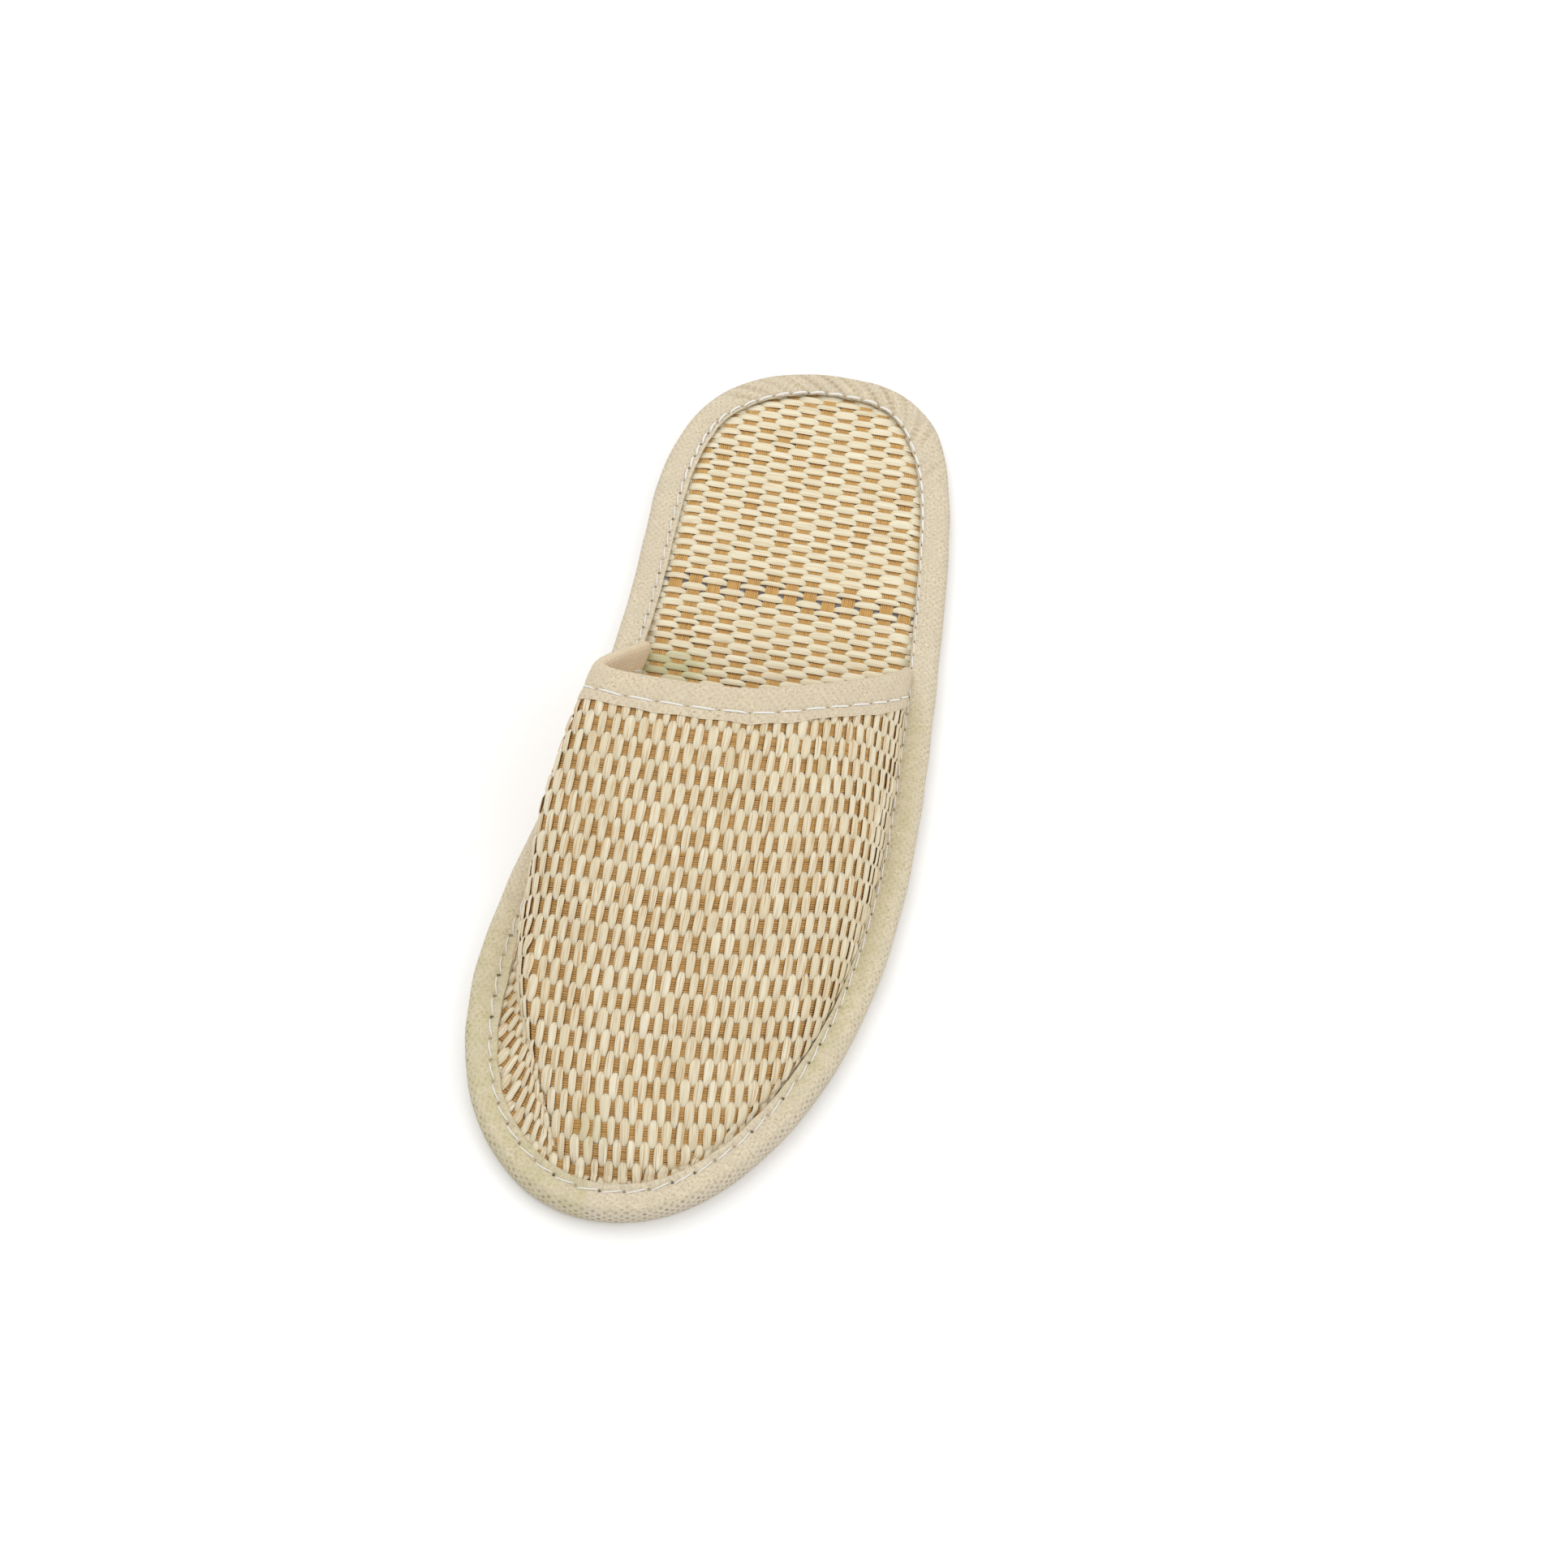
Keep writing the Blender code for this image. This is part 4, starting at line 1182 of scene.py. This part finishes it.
STITCH_SHARE = np.array((0.0, 0.04, 0.12, 0.3, 0.5, 0.7, 0.88, 0.96, 1.0))
STITCH_RISE = np.array((-0.6, 0.2, 0.75, 0.95, 1.0, 0.95, 0.75, 0.2, -0.6))
STITCH_THICK = np.array((0.5, 0.85, 1.0, 1.0, 1.0, 1.0, 1.0, 0.85, 0.5))
STITCH_START, STITCH_REACH = 0.11, 0.79     # in shares of the distance from hole to hole


def sewn_row(tape, pitch, seam, numbers, radius, slant, flip=1.0):
    """Stitches along a seam of a tape, each from one needle hole to the next."""
    points, uv = tape[:2]
    distance, width = uv[:, 0, 0], uv[0, :, 1]
    normals = across_grid(points) * flip
    around = 2 * np.pi * np.arange(6) / 6
    stitches = []
    for k, size in zip(numbers, np.broadcast_to(radius, len(numbers))):
        along = (k + STITCH_START + STITCH_REACH * STITCH_SHARE) * pitch
        i = np.interp(along, distance, np.arange(len(distance)))
        j = np.interp(seam + slant * (STITCH_SHARE - 0.5), width, np.arange(len(width)))
        normal = unit(read_grid(normals, i, j))
        line = read_grid(points, i, j) + normal * (STITCH_RISE * size * 1.1)[:, None]
        forward = unit(np.gradient(line, axis=0))
        side = unit(np.cross(normal, forward))
        out = (np.cos(around)[:, None] * side[:, None]
               + np.sin(around)[:, None] * np.cross(forward, side)[:, None])
        tube = line[:, None] + out * (size * STITCH_THICK)[:, None, None]
        stitches.append(ribbon(model(tube), paired(along[:, None], around), tone=0.5, age=0.0,
                               edge=0.0))
    return stitches


# ---------------------------------------------------------------- what a user would change


def length_setting(name, description, default):
    return FloatProperty(name=name, description=description, default=default, min=0.0,
                         unit="LENGTH", subtype="DISTANCE", precision=5)


def power_setting(name, description, default, **more):
    return FloatProperty(name=name, description=description, default=default, min=0.0, **more)


def colour_setting(name, description, *levels):
    return FloatVectorProperty(name=name, description=description, subtype="COLOR", size=4,
                               min=0.0, max=1.0, default=tint(*levels))


class SlipperWeave(PropertyGroup):
    straw_over: length_setting("Upper Straws", "Width of the upper's straws on top", 0.00246)
    mat_over: length_setting("Mat Straws", "Width of the mat's straws on top", 0.00244)
    straw_under: length_setting("Straw Width Below", "A straw's width where it dips", 0.00150)
    straw_crown: length_setting("Straw Crown", "How round a straw's top is", 0.00042)
    wave: length_setting("Straw Wave", "How far a straw rises and dips", 0.00045)
    bundle: length_setting("Bundle Width", "Width of a bundle of threads", 0.0039)
    rib: length_setting("Thread Ribs", "How far each thread stands up", 0.00026)
    lines: power_setting("Straw Lines", "Strength of the lines along the straws", 0.8,
                         max=1.0, subtype="FACTOR")


class SlipperColours(PropertyGroup):
    straw_light: colour_setting("Pale Straw", "The lighter straws", 231, 222, 196)
    straw_dark: colour_setting("Deep Straw", "The darker straws", 216, 202, 168)
    straw_line: colour_setting("Straw Lines", "The lines along a straw", 198, 156, 94)
    thread: colour_setting("Thread", "The bundles of threads", 192, 150, 92)
    # the thread shade is painted shade between the threads, and also darkens their twist
    thread_shade: colour_setting("Thread Shade", "Between the threads", 142, 105, 60)
    tape: colour_setting("Tape", "The edge and collar tape", 214, 202, 178)
    stitch: colour_setting("Stitches", "The sewing thread", 244, 242, 238)
    lining: colour_setting("Lining", "The inside of the upper", 222, 198, 170)
    cork: colour_setting("Cork", "The sole", 160, 124, 86)


class SlipperStage(PropertyGroup):
    floor: colour_setting("Floor", "The plain floor", 255, 255, 255)
    key: power_setting("Key Light", "Power of the large soft light", 5.9, unit="POWER")
    fill: power_setting("Fill Light", "Power of the light from the front", 2.8, unit="POWER")
    sky: power_setting("Sky", "Strength of the even light all round", 0.79)


def weave_looks(settings, **own):
    """The weave's sizes in millimetres, with a sheet's own looks."""
    names = ("straw_over", "straw_under", "straw_crown", "wave", "bundle", "rib")
    looks = {name: getattr(settings, name) / MM for name in names}
    return looks | {"bundle_wave": 0.24} | own


# ---------------------------------------------------------------- operators


class SLIPPER_OT_mat(Operator):
    """Weave the straw mat and lay the felt under it"""
    bl_idname = "slipper.mat"
    bl_label = "Weave Mat"

    def execute(self, context):
        colours, settings = context.scene.slipper_colours, context.scene.slipper_weave
        looks = weave_looks(settings, lift=0.0, square=0.3, taper=0.0,
                            straw_over=settings.mat_over / MM)
        straws, bundles = weave(np.random.default_rng(11), mat_sheet(), looks)
        settle(ribbons_piece("insole_straws", straws), "insole",
               straw_material("mat_straw", colours, settings.lines * 0.55, 0.3))
        settle(ribbons_piece("insole_bundles", bundles), "insole",
               # the mat's threads get a share of painted light
               bundle_material("mat_thread", colours, 0.45))
        clear_selection()
        bpy.ops.mesh.primitive_circle_add(vertices=240, radius=0.1, fill_type="NGON")
        felt = bpy.context.object
        felt.name = felt.data.name = "insole_felt"
        plan = rim(np.linspace(0, 2 * np.pi, 240, endpoint=False), FELT_INSET)
        put_points(felt, model(np.pad(plan, ((0, 0), (0, 1)), constant_values=FELT_FLOOR)))
        edit(felt, lambda: bpy.ops.mesh.extrude_region_move(
            TRANSFORM_OT_translate={"value": (0, 0, FELT_THICKNESS * MM)}),
            lambda: bpy.ops.mesh.select_all(action="SELECT"), outward)
        settle(felt, "insole", backing_material())
        return {"FINISHED"}


class SLIPPER_OT_upper(Operator):
    """Weave the upper from the collar to the toe"""
    bl_idname = "slipper.upper"
    bl_label = "Weave Upper"

    def execute(self, context):
        colours, settings = context.scene.slipper_colours, context.scene.slipper_weave
        random = np.random.default_rng(23)
        looks = weave_looks(settings, lift=0.25, square=0.25, taper=0.14)
        straws, bundles = weave(random, upper_sheet(), looks)
        skirt_straws, skirt_bundles = weave(random, skirt_sheet(), looks)
        settle(ribbons_piece("upper_straws", straws + skirt_straws), "upper",
               straw_material("upper_straw", colours, settings.lines))
        settle(ribbons_piece("upper_bundles", bundles + skirt_bundles), "upper",
               bundle_material("upper_thread", colours))
        return {"FINISHED"}


class SLIPPER_OT_lining(Operator):
    """Line the inside of the upper with thin cloth"""
    bl_idname = "slipper.lining"
    bl_label = "Line Upper"

    def execute(self, context):
        angle = np.linspace(90, -90, LINING_LINES)
        middle, half = foot(np.array(WIDEST))
        keep = middle + half * np.sin(np.radians(angle))
        side = np.where(keep > toe_tip(UPPER_FOOT)[1], 1.0, -1.0)
        zero = np.zeros_like(angle)
        turn = bisect(zero, zero + np.pi, lambda t: rim(t, UPPER_FOOT)[..., 0] < WIDEST)
        turn = bisect(turn, zero + np.pi,
                      lambda t: side * (rim(side * t, UPPER_FOOT)[..., 1] - keep) > 0)
        end = np.minimum(rim(side * turn, UPPER_FOOT)[..., 0], toe_tip(UPPER_FOOT)[0])
        station = np.linspace(collar_station(angle), end, LINING_LINES, axis=1)
        ahead = arch_angle(keep[:, None], *cap(station))
        points = wall_point(station, np.where(station > WIDEST, ahead, angle[:, None]))
        normal = across_grid(points)
        normal *= np.sign(normal[LINING_LINES // 2, LINING_LINES // 2, 2])
        lay = np.arange(LINING_LINES)
        lining = cloth_piece("upper_lining", model(points - normal * LINING_DEPTH),
                             paired(lay[:, None] * 1.0, lay * 1.2), LINING_THICKNESS, 60)
        settle(lining, "upper", lining_material(context.scene.slipper_colours))
        return {"FINISHED"}


class SLIPPER_OT_edge(Operator):
    """Fold the tape round the shoe's edge and sew it on"""
    bl_idname = "slipper.edge"
    bl_label = "Bind Edge"

    def execute(self, context):
        colours = context.scene.slipper_colours
        tape = edge_tape_lines(np.random.default_rng(37))
        seams, pitch = fold_tape("edge_tape", "edge_binding", colours, tape, EDGE_SEAM_LINES,
                                 EDGE_STITCHES, (134, 127, 116), 0.9, 0.05,
                                 before=(join_ends, outward))
        numbers = np.arange(EDGE_STITCHES)
        turns = np.interp((numbers + 0.5) * pitch, tape[1][:, 0, 0], even_turns(EDGE_TURNS)[0])
        heel = ramp(outline_point(turns)[:, 0], 70.0, 40.0)
        top = sewn_row(tape, pitch, seams[0], numbers, 0.2 + 0.15 * heel, 0.35)
        below = sewn_row(tape, pitch, seams[1], numbers, 0.2, 0.2)
        thread = stitch_material(colours)
        settle(ribbons_piece("edge_stitches", top), "edge_binding", thread)
        settle(ribbons_piece("underside_stitches", below), "edge_binding", thread)
        return {"FINISHED"}


class SLIPPER_OT_collar(Operator):
    """Fold the tape over the collar and sew it on"""
    bl_idname = "slipper.collar"
    bl_label = "Bind Collar"

    def execute(self, context):
        colours = context.scene.slipper_colours
        tape = collar_tape_lines(np.random.default_rng(41))
        seams, pitch = fold_tape("collar_tape", "collar_binding", colours, tape,
                                 COLLAR_SEAM_LINES, COLLAR_STITCHES, (166, 144, 116), 0.5, 0.22)
        numbers = np.arange(1, COLLAR_STITCHES - 1)
        outer, inner = (sewn_row(tape, pitch, seam, numbers, 0.27, 0.3, -1.0) for seam in seams)
        settle(ribbons_piece("collar_stitches", outer + inner), "collar_binding",
               bpy.data.materials.get("stitch_thread") or stitch_material(colours))
        return {"FINISHED"}


class SLIPPER_OT_cork(Operator):
    """Give the board its pressed cork"""
    bl_idname = "slipper.cork"
    bl_label = "Finish Cork"

    def execute(self, context):
        cork = cork_material(context.scene.slipper_colours)
        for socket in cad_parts["outsole"].material_slots:
            socket.material = cork
        return {"FINISHED"}


class SLIPPER_OT_stage(Operator):
    """Set the floor, the soft lights and the camera"""
    bl_idname = "slipper.stage"
    bl_label = "Set Stage"

    def execute(self, context):
        scene, settings = context.scene, context.scene.slipper_stage
        clear_selection()
        bpy.ops.mesh.primitive_plane_add(size=6.0)
        floor = bpy.context.object
        floor.name = floor.data.name = "floor"
        floor.data.materials.append(Finish("plain_floor", settings.floor, 0.9, 0.1).material)
        scene.world = scene.world or bpy.data.worlds.new("sky")
        scene.world.use_nodes = True
        sky = scene.world.node_tree.nodes["Background"].inputs
        sky["Color"].default_value = (1.0, 1.0, 1.0, 1.0)
        sky["Strength"].default_value = settings.sky

        def place(name, data, location, ahead, roll=0.0):
            thing = bpy.data.objects.new(name, data)
            thing.location = location
            turn = Quaternion((0, 0, 1), math.radians(roll))
            thing.rotation_euler = (Vector(ahead).to_track_quat("-Z", "Y") @ turn).to_euler()
            scene.collection.objects.link(thing)
            return thing

        for name, power, size, spot in (("key_light", settings.key, 1.1, (-0.45, 0.35, 1.15)),
                                        ("fill_light", settings.fill, 0.9, (0.85, -0.25, 0.8))):
            light = bpy.data.lights.new(name, "AREA")
            light.energy, light.size = power, size
            place(name, light, spot, -Vector(spot))
        lens = bpy.data.cameras.new("camera")
        lens.lens, lens.sensor_width = 59.63, 36.0
        scene.camera = place("camera", lens, (0.0895, -0.3578, 0.6516),
                             (-0.1055, 0.4782, -0.8719), 4.06)
        scene.view_settings.view_transform = "Standard"
        return {"FINISHED"}


class SLIPPER_PT_panel(Panel):
    """Sizes, colours and steps of the slipper"""
    bl_idname = "SLIPPER_PT_panel"
    bl_label = "Hotel Slipper"
    bl_space_type = "VIEW_3D"
    bl_region_type = "UI"
    bl_category = "Slipper"

    def draw(self, context):
        for group in SETTINGS:
            settings = getattr(context.scene, group)
            box = self.layout.box()
            for name in settings.__annotations__:
                box.prop(settings, name)
        for step in STEPS:
            self.layout.operator(step.bl_idname)


STEPS = (SLIPPER_OT_stage, SLIPPER_OT_cork, SLIPPER_OT_mat, SLIPPER_OT_lining,
         SLIPPER_OT_upper, SLIPPER_OT_edge, SLIPPER_OT_collar)
SETTINGS = {"slipper_weave": SlipperWeave, "slipper_colours": SlipperColours,
            "slipper_stage": SlipperStage}


def register():
    for name, group in SETTINGS.items():
        bpy.utils.register_class(group)
        setattr(bpy.types.Scene, name, PointerProperty(type=group))
    for step in (*STEPS, SLIPPER_PT_panel):
        bpy.utils.register_class(step)


def unregister():
    for step in reversed((*STEPS, SLIPPER_PT_panel)):
        bpy.utils.unregister_class(step)
    for name, group in SETTINGS.items():
        delattr(bpy.types.Scene, name)
        bpy.utils.unregister_class(group)


def main():
    register()
    bpy.ops.slipper.stage()
    bpy.ops.slipper.cork()
    bpy.ops.slipper.mat()
    bpy.ops.slipper.lining()
    bpy.ops.slipper.upper()
    bpy.ops.slipper.edge()
    bpy.ops.slipper.collar()


if __name__ == "__main__":
    main()
